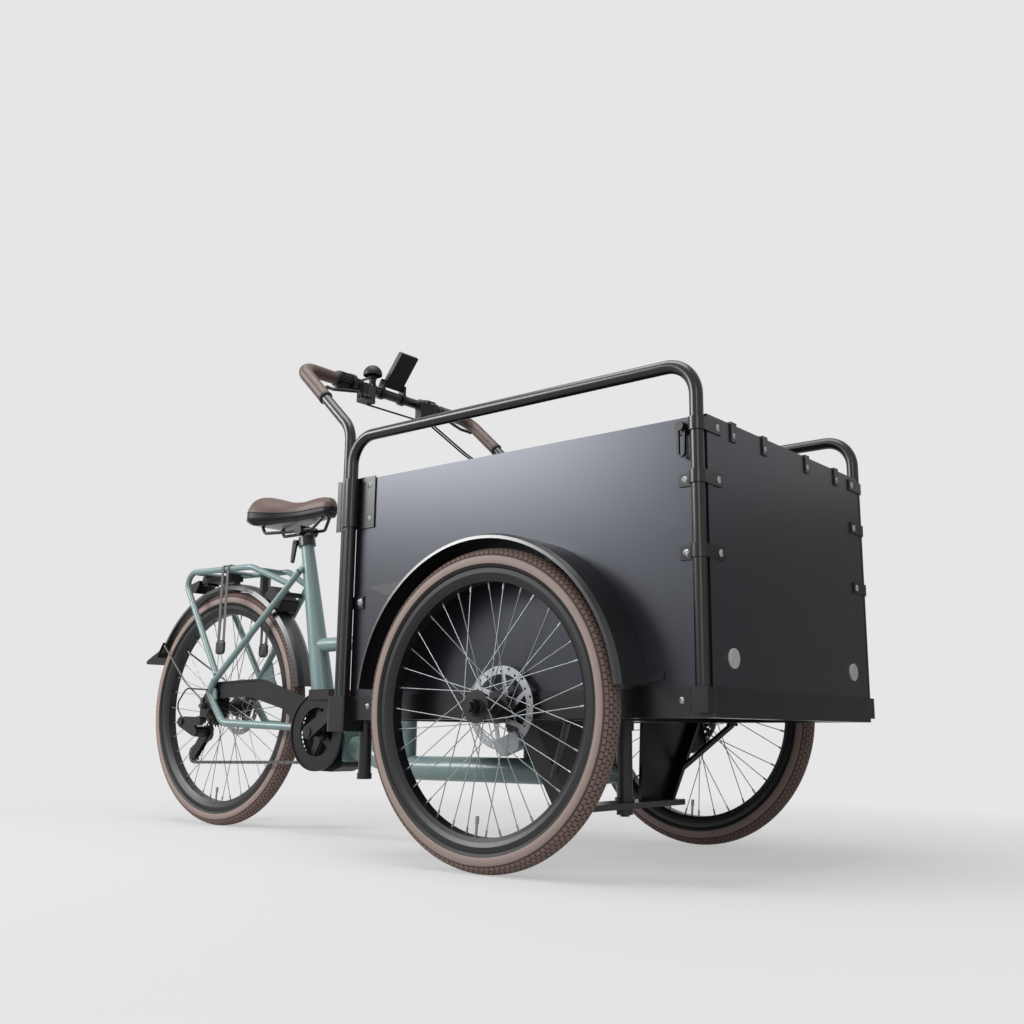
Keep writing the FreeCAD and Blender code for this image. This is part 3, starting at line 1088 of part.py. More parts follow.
CONTROL_Y = CLAMP_Y + 47
control_ring = on_bar(CONTROL_Y - 10, CONTROL_Y + 10, 17.5)
pad = plate_y([(BAR_X - 30, BAR_Z + 6), (BAR_X - 8, BAR_Z + 6), (BAR_X - 4, BAR_Z + 26),
               (BAR_X - 26, BAR_Z + 30)], CONTROL_Y - 16, CONTROL_Y + 16, 4)
control = fused([control_ring, pad]).cut(rod(V(BAR_X, 0, BAR_Z), V(BAR_X, 400, BAR_Z), BAR_R + SLIDE_FIT))
BUTTON_R = 5.0
BUTTON_TRAVEL = 1.5
button_dir = unit(V(BAR_X - 30, 0, BAR_Z + 6), V(BAR_X - 26, 0, BAR_Z + 30))
button_out = V(-button_dir.z, 0, button_dir.x)
seat = V(BAR_X - 28, CONTROL_Y, BAR_Z + 18)
recess = seat.sub(V(button_out).multiply(6))
control = control.cut(rod(recess, seat.add(V(button_out).multiply(6)), BUTTON_R + FIT))
button_low = recess.add(V(button_out).multiply(BUTTON_TRAVEL + FIT))
nodes["control_button"] = rod(button_low, seat.add(V(button_out).multiply(2.6)), BUTTON_R)
bar_clamps.append(control)
nodes["bar_clamps"] = group(bar_clamps)

# Brake hoses along the bar and down the left leg
HOSE_R = 2.4
HOSE_STEP = 10.0


def hose(start_y, lane):
    run_x = BAR_X + 18 + HOSE_STEP * lane
    run_z = BODY_LOW - HOSE_R - FIT
    down_x = LEG_X + 8 + HOSE_STEP * lane
    down_y = LEG_Y - 20
    return bent_tube(
        [V(run_x, start_y, run_z), V(run_x, CLAMP_Y + 10, run_z), V(run_x, BAR_HALF - 30, run_z - 60),
         V(down_x, down_y, BAR_BEND_Z - 48), V(down_x, down_y, hoop_foot + 2)], HOSE_R, 30)


nodes["brake_hoses"] = group([hose(-CLAMP_Y + 20, 0), hose(CLAMP_Y - 30, 1)])

# Straps at the box corners, edge clips and bolts
STRAP_H = 24.0
STRAP_T = 3.0


def front_strap(z):
    """A strap from the side panel round the front post to the front panel, on the left."""
    r = HOOP_R + FIT
    z0, z1 = z - STRAP_H / 2, z + STRAP_H / 2
    shell = rod(V(POST_FRONT_X, POST_Y, z0), V(POST_FRONT_X, POST_Y, z1), r + STRAP_T)
    shell = shell.common(block(POST_FRONT_X - 60, POST_FRONT_X + 60, POST_Y, POST_Y + 60, z0, z1))
    leg = block(POST_FRONT_X - r - STRAP_T, POST_FRONT_X - r, SIDE_Y + FIT, POST_Y, z0, z1)
    side_tab = block(POST_FRONT_X - 46, POST_FRONT_X - r, SIDE_Y + FIT, SIDE_Y + FIT + STRAP_T, z0, z1)
    front_tab = block(BOX_FRONT + FIT, BOX_FRONT + FIT + STRAP_T, SIDE_Y - 48, POST_Y, z0, z1)
    post_room = rod(V(POST_FRONT_X, POST_Y, z0 - 1), V(POST_FRONT_X, POST_Y, z1 + 1), r)
    return fused([shell, leg, side_tab, front_tab]).cut(post_room)


STRAP_ZS = (BOX_TOP - 20, BOX_TOP - 116, BOX_TOP - 248)
front_straps = [front_strap(z) for z in STRAP_ZS]
rear_plate_z0, rear_plate_z1 = BOX_TOP - 113, BOX_TOP + 4
rear_plate = block(LEG_X - HOOP_R - 6, BOX_REAR + 58, SIDE_Y + FIT, SIDE_Y + FIT + STRAP_T,
                   rear_plate_z0, rear_plate_z1)
shell_h = rear_plate_z1 - rear_plate_z0 - 8
shell_post = Part.makeCylinder(HOOP_R + 4, shell_h, V(POST_REAR_X, POST_Y, rear_plate_z0 + 4))
shell_leg = Part.makeCylinder(HOOP_R + 4, shell_h, V(LEG_X, LEG_Y, rear_plate_z0 + 4))
tie = block(LEG_X, POST_REAR_X, SIDE_Y - 8, SIDE_Y + 3, rear_plate_z0 + 20, rear_plate_z1 - 20)
panel_room = block(BOX_REAR - FIT, BOX_FRONT, 0, SIDE_Y + FIT, RAIL_TOP, HOOP_TOP)
rear_clamp = fused([rear_plate, shell_post, shell_leg, tie])
for x, y in ((POST_REAR_X, POST_Y), (LEG_X, LEG_Y)):
    rear_clamp = rear_clamp.cut(rod(V(x, y, RAIL_TOP), V(x, y, HOOP_TOP), HOOP_R + FIT))
rear_clamp = rear_clamp.cut(panel_room)
LOW_TIE_Z = RAIL_TOP + 203
low_tie = block(POST_REAR_X, BOX_REAR + 34, SIDE_Y + FIT, SIDE_Y + FIT + STRAP_T,
                LOW_TIE_Z - 14, LOW_TIE_Z + 14)
low_tie = low_tie.cut(rod(V(POST_REAR_X, POST_Y, RAIL_TOP), V(POST_REAR_X, POST_Y, HOOP_TOP), HOOP_R + FIT))
left_straps = front_straps + list(rear_clamp.Solids) + list(low_tie.Solids)
corner_straps = left_straps + [mirrored(s) for s in left_straps]


def edge_clip(y):
    """A small clip over the front panel's top edge."""
    x0, x1, z1 = inner_x1 - FIT, BOX_FRONT + FIT, BOX_TOP + FIT
    pts = [(x1, BOX_TOP - 34), (x1 + STRAP_T, BOX_TOP - 34), (x1 + STRAP_T, z1 + STRAP_T),
           (x0 - STRAP_T, z1 + STRAP_T), (x0 - STRAP_T, BOX_TOP - 12), (x0, BOX_TOP - 12), (x0, z1), (x1, z1)]
    return plate_y(pts, y - 10, y + 10)


CLIP_YS = (-236.0, -112.0, 74.0, 216.0)
nodes["corner_straps"] = group(corner_straps + [edge_clip(y) for y in CLIP_YS])


def dome_bolt(base, direction, r=7.0):
    """A domed head with a hexagon socket, standing on a face."""
    ball_r = r * 1.25
    ball = Part.makeSphere(ball_r, V(0, 0, -math.sqrt(ball_r**2 - r**2)))
    head = ball.common(Part.makeCylinder(2 * r, 2 * r))
    socket = [(0.4 * r * math.cos(k * math.pi / 3), 0.4 * r * math.sin(k * math.pi / 3)) for k in range(6)]
    head = head.cut(plate_z(socket, 0.2 * r, r))
    head.Placement = FreeCAD.Placement(base, FreeCAD.Rotation(V(0, 0, 1), direction))
    return head


GAP = 0.15
bolts = []
for s in (-1, 1):
    out = V(0, s, 0)
    on_strap = s * (SIDE_Y + FIT + STRAP_T + GAP)
    on_panel = s * (SIDE_Y + GAP)
    for z in STRAP_ZS[1:] if s < 0 else STRAP_ZS:
        bolts.append(dome_bolt(V(POST_FRONT_X - 33, on_strap, z), out))
    for z in STRAP_ZS:
        bolts.append(dome_bolt(V(BOX_FRONT + FIT + STRAP_T + GAP, s * (SIDE_Y - 34), z), V(1, 0, 0)))
    for z in (rear_plate_z0 + 20, rear_plate_z1 - 20):
        bolts.append(dome_bolt(V(BOX_REAR + 42, on_strap, z), out))
    bolts.append(dome_bolt(V(BOX_REAR + 22, on_strap, LOW_TIE_Z), out, 9))
    bolts.append(dome_bolt(V(BOX_REAR + 112, on_panel, LOW_TIE_Z), out, 6))
    for x in (BOX_FRONT - 60, BOX_REAR + 60):
        bolts.append(dome_bolt(V(x, s * (rail_y + GAP), RAIL_TOP - 22), out, 6))
for y in CLIP_YS:
    bolts.append(dome_bolt(V(BOX_FRONT + FIT + 3 + GAP, y, BOX_TOP - 22), V(1, 0, 0), 5.5))

reflectors = []
for y in (-258.0, 258.0):
    lens = rod(V(BOX_FRONT + GAP, y, RAIL_TOP + 52), V(BOX_FRONT + 5, y, RAIL_TOP + 52), 18)
    reflectors.append(lens.makeFillet(2, [e for e in lens.Edges if abs(e.BoundBox.XMin - (BOX_FRONT + 5)) < 0.01
                                          and e.BoundBox.YLength > 1]))
nodes["front_reflectors"] = group(reflectors)

# Tie ring that hangs from the right front post
ring_x, ring_z = POST_FRONT_X - 33, STRAP_ZS[0]
strap_face = -SIDE_Y - FIT - STRAP_T - GAP
eye_bolt = rod(V(ring_x, strap_face, ring_z), V(ring_x, strap_face - 14, ring_z), 4)
eye_head = rod(V(ring_x, strap_face - 14, ring_z), V(ring_x, strap_face - 18, ring_z), 9)
nodes["bolts"] = group(bolts + [eye_bolt.fuse(eye_head).removeSplitter()])
loop_out = link_plate((ring_x, ring_z), (ring_x, ring_z - 48), 10, 8, strap_face - 12, strap_face - 6)
loop_in = link_plate((ring_x, ring_z), (ring_x, ring_z - 48), 4 + SLIDE_FIT, 4, strap_face - 20, strap_face)
nodes["tie_ring"] = loop_out.cut(loop_in)

# Front fenders on the box sides
FRONT_FENDER_R = FRONT_R + 17
fender_in = WHEEL_Y - SIDE_Y - FIT
front_profile = [
    (-36, FRONT_FENDER_R - 2), (-35, FRONT_FENDER_R + 4), (-24, FRONT_FENDER_R + 9),
    (fender_in, FRONT_FENDER_R + 9), (fender_in, FRONT_FENDER_R + 9 - FENDER_T),
    (-23, FRONT_FENDER_R + 9 - FENDER_T), (-32.8, FRONT_FENDER_R + 2.2), (-36 + FENDER_T, FRONT_FENDER_R - 2),
]
front_fender = swept_fender(front_profile, 6, 173)
front_fender.translate(V(0, -WHEEL_Y, FRONT_R))
fin = plate_y([(-398, 568), (-250, 576), (-236, 540), (-282, 524)], -SIDE_Y - FIT - 3, -SIDE_Y - FIT)
fin = fin.cut(disc_y(0, FRONT_R, FRONT_FENDER_R + 7, -SIDE_Y - 20, -SIDE_Y + 5))
foot = plate_y([(FRONT_FENDER_R - 8, FRONT_R + 40), (FRONT_FENDER_R + 40, FRONT_R + 60),
                (FRONT_FENDER_R + 40, RAIL_TOP + 16), (FRONT_FENDER_R + 4, RAIL_TOP + 8)],
               -SIDE_Y - FIT - 3, -SIDE_Y - FIT, 4)
foot = foot.cut(disc_y(0, FRONT_R, FRONT_FENDER_R + 7, -SIDE_Y - 20, -SIDE_Y + 5))
fender_right = fused([front_fender, fin, foot])
nodes["front_fenders"] = both_sides(fender_right)

# Stub axles with caliper brackets, drawn on the left
flange_y0 = rail_y + FIT
FLANGE_T = 5.0
stub = rod(V(0, flange_y0, FRONT_R), V(0, WHEEL_Y + 56, FRONT_R), STUB_R)
flange = plate_y([(-34, RAIL_LOW + 4), (34, RAIL_LOW + 4), (34, RAIL_TOP - 4), (-34, RAIL_TOP - 4)],
                 flange_y0, flange_y0 + FLANGE_T, 8)
bracket = plate_y([(-10, FRONT_R), (42, FRONT_R), (52, FRONT_R - 62), (24, FRONT_R - 74)],
                  flange_y0, flange_y0 + FLANGE_T - 1, 6)
nut_y = WHEEL_Y + FRONT_HUB_HALF + FIT
stub_nut = hex_y(0, FRONT_R, 27, nut_y, nut_y + 13)
stub_axle = fused([stub, flange, bracket, stub_nut])
disc_at = WHEEL_Y - DISC_Y - 2
front_caliper = caliper(24, FRONT_R - 66, 160, -disc_at - 2, -disc_at)
front_caliper = front_caliper.cut(block(-60, 100, -flange_y0 - FLANGE_T + 1 - FIT, 0, 100, 400))
nodes["stub_axles"] = group([stub_axle, mirrored(stub_axle), front_caliper, mirrored(front_caliper)])

for name, shape in nodes.items():
    placed = shape.copy()
    placed.translate(V(SHIFT_X, 0, 0))
    placed.exportStep("parts/" + name + ".step")
print(len(nodes), "nodes, chain links", links, "cage lean", round(math.degrees(cage_lean), 2), "shift", SHIFT_X)
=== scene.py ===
# %% [markdown]
# A cargo tricycle that steers with its whole box. The solids come from CAD as a fixed frame, in metres, with +X
# forward, +Y to the rider's left and +Z up. This lesson gives every solid a finish worked out from its real
# material, rebuilds the soft and ribbed pieces in Blender, and sets up the light and the camera.

# %% Load the frame
import math

import bmesh
import bpy
from mathutils import Matrix, Vector


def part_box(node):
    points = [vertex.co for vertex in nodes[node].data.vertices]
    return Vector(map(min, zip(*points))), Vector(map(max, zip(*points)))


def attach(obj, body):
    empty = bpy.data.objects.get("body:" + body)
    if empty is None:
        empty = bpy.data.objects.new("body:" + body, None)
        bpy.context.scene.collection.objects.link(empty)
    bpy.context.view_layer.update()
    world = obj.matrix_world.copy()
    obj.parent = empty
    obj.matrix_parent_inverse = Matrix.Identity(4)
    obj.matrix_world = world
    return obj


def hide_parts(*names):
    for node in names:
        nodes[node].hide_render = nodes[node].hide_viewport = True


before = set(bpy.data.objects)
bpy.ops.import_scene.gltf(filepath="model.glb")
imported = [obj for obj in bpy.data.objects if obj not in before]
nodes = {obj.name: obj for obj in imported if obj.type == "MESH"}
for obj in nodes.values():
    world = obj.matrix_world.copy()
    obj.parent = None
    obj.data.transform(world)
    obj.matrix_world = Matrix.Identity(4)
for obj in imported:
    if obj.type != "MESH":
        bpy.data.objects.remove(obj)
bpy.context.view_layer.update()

# %% [markdown]
# The photograph was taken from low down with a moderately long lens, so the box towers over the viewer. The
# place, the turn and the focal length below were solved from the outlines of the wheels and the edges of the box.
# The lens is shifted a little because the picture is a crop of a larger one.

# %% Camera
CAMERA_AT = Vector((2.0463, -2.0275, 0.2499))
YAW, PITCH, ROLL = 2.236, 0.205, 0.005
FOCAL_PX = 1126.0
CENTRE_PX = (545.9, 502.1)
FRAME_PX = 1024.0
SENSOR_MM = 36.0
SIGHT_END = 200.0

forward = Vector((math.cos(PITCH) * math.cos(YAW), math.cos(PITCH) * math.sin(YAW), math.sin(PITCH)))
level = forward.cross(Vector((0, 0, 1))).normalized()
upright = level.cross(forward)
right = math.cos(ROLL) * level + math.sin(ROLL) * upright
up = math.cos(ROLL) * upright - math.sin(ROLL) * level

camera_data = bpy.data.cameras.new("camera")
camera_data.sensor_width = SENSOR_MM
camera_data.lens = FOCAL_PX / FRAME_PX * SENSOR_MM
camera_data.shift_x = -(CENTRE_PX[0] - FRAME_PX / 2) / FRAME_PX
camera_data.shift_y = (CENTRE_PX[1] - FRAME_PX / 2) / FRAME_PX
camera_data.clip_end = SIGHT_END
camera = bpy.data.objects.new("camera", camera_data)
camera.matrix_world = Matrix.Translation(CAMERA_AT) @ Matrix((right, up, -forward)).transposed().to_4x4()
bpy.context.collection.objects.link(camera)
bpy.context.scene.camera = camera
bpy.context.scene.view_settings.view_transform = "Standard"
print("lens", round(camera_data.lens, 2), "mm")

# %% [markdown]
# A few small helpers serve every material. One turns an sRGB hex value into the linear numbers that the shader
# wants. One adds a node with its settings and its links. One starts a material with the shader's own sockets set.
# A pattern's scale is written as the size in millimetres of what repeats, which `per_mm` turns into a node scale.

# %% Material helpers


def linear(code):
    """An sRGB hex value as linear red, green, blue and alpha."""
    parts = [int(code[k:k + 2], 16) / 255 for k in (1, 3, 5)]
    return [c / 12.92 if c <= 0.04045 else ((c + 0.055) / 1.055) ** 2.4 for c in parts] + [1.0]


def add(tree, kind, inputs=None, **settings):
    """A new node: settings are its own properties, and each input takes a value or another node's output."""
    node = tree.nodes.new(kind)
    for name, value in settings.items():
        setattr(node, name, value)
    for name, value in (inputs or {}).items():
        if isinstance(value, bpy.types.NodeSocket):
            tree.links.new(value, node.inputs[name])
        else:
            node.inputs[name].default_value = value
    return node


def start_finish(name, colour, roughness, **sockets):
    """A material with its shader's plain sockets set, and the object coordinates for its patterns."""
    material = bpy.data.materials.new(name)
    material.use_nodes = True
    tree = material.node_tree
    shader = tree.nodes["Principled BSDF"]
    shader.inputs["Base Color"].default_value = linear(colour)
    shader.inputs["Roughness"].default_value = roughness
    for key, value in sockets.items():
        shader.inputs[key.replace("_", " ")].default_value = value
    coords = add(tree, "ShaderNodeTexCoord").outputs["Object"]
    return material, tree, shader, coords


def per_mm(size):
    """The scale of a texture whose features are that many millimetres apart."""
    return 1000.0 / size


print("a pattern of 2 mm has the scale", per_mm(2.0))

# %% [markdown]
# The backdrop is a plain pale grey. It could be a lit wall, but then its shade would change with every lamp. Here
# the world shows that grey to the camera, to reflections and through glass, and lights matt surfaces with a weak
# white sky instead, so the grey can be set by itself.

# %% Backdrop
BACKDROP = "#e6e6e6"
SKY_LEVEL = 0.3


def seen_directly(tree):
    """A socket that is 1 for rays of the camera, of reflections and through glass, and 0 for other light."""
    path = add(tree, "ShaderNodeLightPath")
    sight = add(tree, "ShaderNodeMath", {0: path.outputs["Is Camera Ray"], 1: path.outputs["Is Glossy Ray"]},
                operation="MAXIMUM")
    sight = add(tree, "ShaderNodeMath", {0: sight.outputs[0], 1: path.outputs["Is Transmission Ray"]},
                operation="MAXIMUM")
    return sight.outputs[0]


world = bpy.data.worlds.new("studio")
bpy.context.scene.world = world
world.use_nodes = True
tree = world.node_tree
tree.nodes.clear()
sky = add(tree, "ShaderNodeBackground", {"Color": linear("#ffffff"), "Strength": SKY_LEVEL})
backdrop = add(tree, "ShaderNodeBackground", {"Color": linear(BACKDROP), "Strength": 1.0})
mixed = add(tree, "ShaderNodeMixShader", {0: seen_directly(tree), 1: sky.outputs[0], 2: backdrop.outputs[0]})
add(tree, "ShaderNodeOutputWorld", {"Surface": mixed.outputs[0]})
print("backdrop", BACKDROP, "and a sky of", SKY_LEVEL)

# %% [markdown]
# Light comes from one large soft source high behind the right-hand side, which gives the side panel its bright
# sheen that fades downwards. A second one overhead lights the tubes and the saddle and keeps the shadow under the
# tricycle. A tall strip near the camera draws the bright lines on the posts and fenders.

# %% Lamps


def softbox(name, at, aim, width, height, watts):
    """A rectangular lamp at a place, turned to a point."""
    lamp = bpy.data.lights.new(name, "AREA")
    lamp.shape = "RECTANGLE"
    lamp.size, lamp.size_y = width, height
    lamp.energy = watts
    holder = bpy.data.objects.new(name, lamp)
    turn = (Vector(aim) - Vector(at)).to_track_quat("-Z", "Y").to_matrix().to_4x4()
    holder.matrix_world = Matrix.Translation(at) @ turn
    bpy.context.collection.objects.link(holder)
    print(name, watts, "W")


softbox("side_light", at=(-3.1, -3.75, 2.75), aim=(0.3, -0.3, 0.65), width=2.8, height=1.7, watts=232)
softbox("top_light", at=(0.2, -0.6, 3.4), aim=(0.1, 0.0, 0.5), width=2.6, height=1.8, watts=86)
softbox("strip_light", at=(3.3, -3.3, 1.7), aim=(0.6, -0.3, 0.6), width=0.5, height=2.2, watts=27)

# %% [markdown]
# The floor is pale card. Near the object its own shade shows, so it carries the shadow, and further out it turns
# into the plain backdrop. The front of the box turns away from all the lamps and would mirror the bright backdrop,
# so a grey felt flag that only reflections see stands where that mirror image would be, and the front stays dark.

# %% Floor and flag
FLOOR_HALF = 60.0
NEAR_SHARE = 0.55
NEAR_EDGE, FAR_EDGE = 1.0, 2.4
FLAG_ENDS = (Vector((1.15, 3.3, 0)), Vector((4.3, 1.75, 0)))
FLAG_TOP = Vector((0, 0, 1.4))


def card(name, corners):
    """A flat card between four corners."""
    mesh = bpy.data.meshes.new(name)
    mesh.from_pydata(corners, [], [(0, 1, 2, 3)])
    made = bpy.data.objects.new(name, mesh)
    bpy.context.collection.objects.link(made)
    return made


floor = card("floor", [Vector((x * FLOOR_HALF, y * FLOOR_HALF, 0))
                       for x, y in ((-1, -1), (1, -1), (1, 1), (-1, 1))])
flag = card("grey_flag", [*FLAG_ENDS, FLAG_ENDS[1] + FLAG_TOP, FLAG_ENDS[0] + FLAG_TOP])
flag.visible_camera = False
flag.visible_diffuse = False
flag.data.materials.append(start_finish("grey_felt", "#858585", 1.0, Specular_IOR_Level=0.0)[0])

material, tree, shader, coords = start_finish("pale_card", "#c6c6c6", 0.9)
distance = add(tree, "ShaderNodeVectorMath", {0: coords}, operation="LENGTH")
far = add(tree, "ShaderNodeMapRange",
          {"Value": distance.outputs["Value"], "From Min": NEAR_EDGE, "From Max": FAR_EDGE},
          interpolation_type="SMOOTHSTEP")
own = add(tree, "ShaderNodeMapRange", {"Value": far.outputs["Result"], "To Min": NEAR_SHARE})
share = add(tree, "ShaderNodeMath", {0: seen_directly(tree), 1: own.outputs["Result"]}, operation="MULTIPLY")
glow = add(tree, "ShaderNodeEmission", {"Color": linear(BACKDROP), "Strength": 1.0})
mixed = add(tree, "ShaderNodeMixShader", {0: share.outputs[0], 1: shader.outputs[0], 2: glow.outputs[0]})
tree.links.new(mixed.outputs[0], tree.nodes["Material Output"].inputs["Surface"])
floor.data.materials.append(material)
print("floor and flag ready")

# %% [markdown]
# No real surface has one flat colour or is quite smooth, so each finish drifts between two close tones over
# patches of one size and has a bump of another size. One maker gives all finishes these two patterns, and the rows
# in the next cells say how large they are. The texture of moulded plastic, metal and rubber is drawn coarser than
# the real one. A pixel of the picture covers about 2 to 3 mm of the tricycle, so even these bumps only break up the
# highlights there.

# %% Finish maker
finishes = {}


def ripple(tree, shader, coords, size_mm, strength, depth_mm):
    """A soft bump of features of one size, linked to the shader's normal."""
    noise = add(tree, "ShaderNodeTexNoise", {"Vector": coords, "Scale": per_mm(size_mm), "Detail": 2.0})
    bump = add(tree, "ShaderNodeBump", {"Height": noise.outputs["Fac"], "Strength": strength,
                                        "Distance": depth_mm / 1000})
    tree.links.new(bump.outputs["Normal"], shader.inputs["Normal"])


def cloudy(tree, shader, coords, low, high, size_mm):
    """Base colour that drifts between two tones over patches of one size."""
    noise = add(tree, "ShaderNodeTexNoise", {"Vector": coords, "Scale": per_mm(size_mm), "Detail": 3.0})
    mix = add(tree, "ShaderNodeMix", {"Factor": noise.outputs["Fac"], "A": linear(low), "B": linear(high)},
              data_type="RGBA")
    tree.links.new(mix.outputs["Result"], shader.inputs["Base Color"])


def plain_finish(name, low, high, roughness, patch_mm, bump_mm, strength, depth_mm, **sockets):
    """A finish from two tones, a roughness, the size of its patches, and its bump's size, strength and depth."""
    material, tree, shader, coords = start_finish(name, low, roughness, **sockets)
    cloudy(tree, shader, coords, low, high, patch_mm)
    ripple(tree, shader, coords, bump_mm, strength, depth_mm)
    finishes[name] = material


print("two patterns for each finish")

# %% [markdown]
# The frame and the fittings are powder coated: plastic powder melted on the steel, with a faint orange peel about
# 3 mm wide. The box is birch plywood faced with dark phenolic film, which is satin with a fine pressed grain. The
# photograph shows it mirror the light strongly for so dark a surface, so its specular level is raised.

# %% Paint and film
# A soft grey-green satin with a thin clear gloss.
plain_finish("sage_powder_coat", "#657b7a", "#6d8483", 0.36, 90, 3.0, 0.25, 0.05, Coat_Weight=0.2)
# Black with narrow bright lines along the tubes.
plain_finish("black_powder_coat", "#0e0f10", "#131416", 0.28, 80, 3.0, 0.2, 0.04, Specular_IOR_Level=0.46)
# A cool blue-grey sheen over near black.
plain_finish("film_faced_plywood", "#17181c", "#1c1d21", 0.3, 220, 2.2, 0.3, 0.05, Specular_IOR_Level=0.66,
             Specular_Tint=linear("#eaf0ff"))
print(len(finishes), "finishes of paint and film")

# %% [markdown]
# The fenders are glossy ABS. Guards, housings and small fittings are moulded in black plastic with a fine matt
# texture, which hides scratches and scatters the light.

# %% Plastics
# A broad soft highlight on a slightly wavy sheet.
plain_finish("gloss_black_abs", "#0f1012", "#131416", 0.3, 120, 6.0, 0.1, 0.05, Specular_IOR_Level=0.8)
# A dull even black.
plain_finish("matt_black_plastic", "#0b0b0c", "#111112", 0.48, 30, 0.9, 0.4, 0.05, Specular_IOR_Level=0.3)
print(len(finishes), "finishes with plastics")

# %% [markdown]
# Rims, hubs and cranks are aluminium with a black anodised skin, which hides the metal, so they are made as a dark
# satin surface and not as a metal. The other metals show as metal, each with its own shine.

# %% Metals
# A dark satin with a little metal grain.
plain_finish("black_anodised_alloy", "#0e0f11", "#131416", 0.38, 25, 0.8, 0.2, 0.03, Specular_IOR_Level=0.4)
# Drawn steel wire, pale grey and dull.
plain_finish("dull_spoke_steel", "#85888b", "#96989b", 0.45, 12, 0.7, 0.1, 0.02, Metallic=1.0)
# Zinc plate on the bolts, used for the brake discs too: brighter and a little mottled.
plain_finish("zinc_bolt_steel", "#8f9295", "#a6a8ab", 0.4, 6, 0.8, 0.25, 0.03, Metallic=1.0)
# Die-cast aluminium with a grainy skin.
plain_finish("cast_caliper_alloy", "#74777a", "#8b8e91", 0.46, 14, 0.9, 0.4, 0.06, Metallic=0.9)
# Oiled steel of the chain, darker and warmer.
plain_finish("dark_chain_steel", "#5b5a58", "#6c6a67", 0.46, 10, 0.9, 0.1, 0.02, Metallic=1.0)
print(len(finishes), "finishes with metals")

# %% [markdown]
# The tyres are brown rubber, paler on the smooth wall than on the tread, and the ground between the tread blocks
# is darkened with painted shade. Moulded rubber is dull, and the black strip at the bead is the smoothest of it.
# The luggage strap is a greyer rubber with black moulded ends.

# %% Rubber
# The wall is the palest of the browns.
plain_finish("brown_tyre_wall", "#817069", "#8c7a73", 0.6, 60, 1.2, 0.4, 0.08)
# Tread blocks, rougher and a shade darker.
plain_finish("brown_tyre_tread", "#6d5953", "#78645d", 0.72, 40, 1.2, 0.5, 0.1)
# The ground between the blocks, darkened with painted shade, which sets them off.
plain_finish("tyre_groove_painted_shade", "#443835", "#4d403d", 0.75, 30, 1.0, 0.4, 0.08)
# The black strip that meets the rim.
plain_finish("black_tyre_bead", "#111011", "#161516", 0.5, 40, 1.2, 0.3, 0.05, Specular_IOR_Level=0.3)
# The strap's stretched bands.
plain_finish("grey_strap_rubber", "#4b4645", "#555050", 0.6, 40, 1.5, 0.3, 0.05)
# The strap's moulded ends.
plain_finish("black_strap_rubber", "#161616", "#1e1f1e", 0.55, 20, 1.2, 0.4, 0.06)
print(len(finishes), "finishes with rubber")

# %% [markdown]
# Saddle and grips are covered in brown leather with an embossed grain. Such a grain is about 1 mm wide, and it is
# drawn coarser, at 1.6 mm. The piping cord is a darker leather, and the thread is paler than both.

# %% Leather and thread
# A warm brown with a soft, broken highlight.
plain_finish("brown_grained_leather", "#4d3b36", "#5a4640", 0.46, 45, 1.6, 0.6, 0.15, Specular_IOR_Level=0.4)
# A dark line along the edge.
plain_finish("dark_piping_leather", "#211a19", "#2b2221", 0.5, 30, 1.4, 0.5, 0.1)
# Sewing thread, matt and a little fuzzy.
plain_finish("brown_stitch_thread", "#6b564f", "#7b655c", 0.7, 5, 0.4, 0.6, 0.1)
print(len(finishes), "finishes with leather")

# %% [markdown]
# Reflectors and lamp are moulded acrylic with prisms a few millimetres wide, which break the light into cells.
# They are made opaque with a strong bump and a clear coat, because the prisms hide what is behind them. The
# display has a flat glass over a dark screen.

# %% Lenses and glass
# Pale grey cells with sharp glints.
plain_finish("clear_reflector_lens", "#9a9d9d", "#cfd1d1", 0.18, 5, 2.5, 0.9, 0.4, Coat_Weight=0.6)
# Orange cells at the front and back of the pedals.
plain_finish("amber_reflector_lens", "#a5401c", "#c2551f", 0.2, 6, 2.0, 0.8, 0.3, Coat_Weight=0.5)
# Deep red and glossy.
plain_finish("red_lamp_lens", "#640b0f", "#7a1115", 0.16, 6, 3.0, 0.5, 0.3, Coat_Weight=0.6)
# Black and almost a mirror.
plain_finish("screen_glass", "#0c0d10", "#101115", 0.08, 60, 9.0, 0.05, 0.02, Coat_Weight=0.8)
print(len(finishes), "finishes in all")

# %% [markdown]
# Every CAD solid takes its finish here. A table with the finish first keeps the pieces of one material together,
# as a paint shop would sort them.

# %% Finishes on the CAD solids
BY_FINISH = {
    "sage_powder_coat": "main_frame rear_stays rear_rack",
    "black_powder_coat": "rail_frame cradle kingpin side_hoops handlebar corner_straps derailleur_body "
                         "derailleur_cage brake_lever_left brake_lever_right tie_ring stub_axles seat_clamp "
                         "seat_lever saddle_frame",
    "film_faced_plywood": "side_panels front_panel rear_panel floor_panel",
    "gloss_black_abs": "rear_fender front_fenders",
    "matt_black_plastic": "rack_deck motor_housing chain_guard pedal_right pedal_left bar_clamps twist_shifter "
                          "bell_lever display control_button guide_wheel_top guide_wheel_low brake_hoses",
    "black_anodised_alloy": "crank_set front_rim_right front_rim_left rear_rim front_hub_right front_hub_left "
                            "rear_hub rear_caliper",
    "dull_spoke_steel": "front_spokes_right front_spokes_left rear_spokes seat_post",
    "zinc_bolt_steel": "bolts",
    "dark_chain_steel": "chain cassette rear_axle",
    "brown_tyre_wall": "front_tyre_right front_tyre_left rear_tyre",
    "brown_grained_leather": "saddle_cover grips",
    "grey_strap_rubber": "luggage_strap",
    "clear_reflector_lens": "front_reflectors",
}
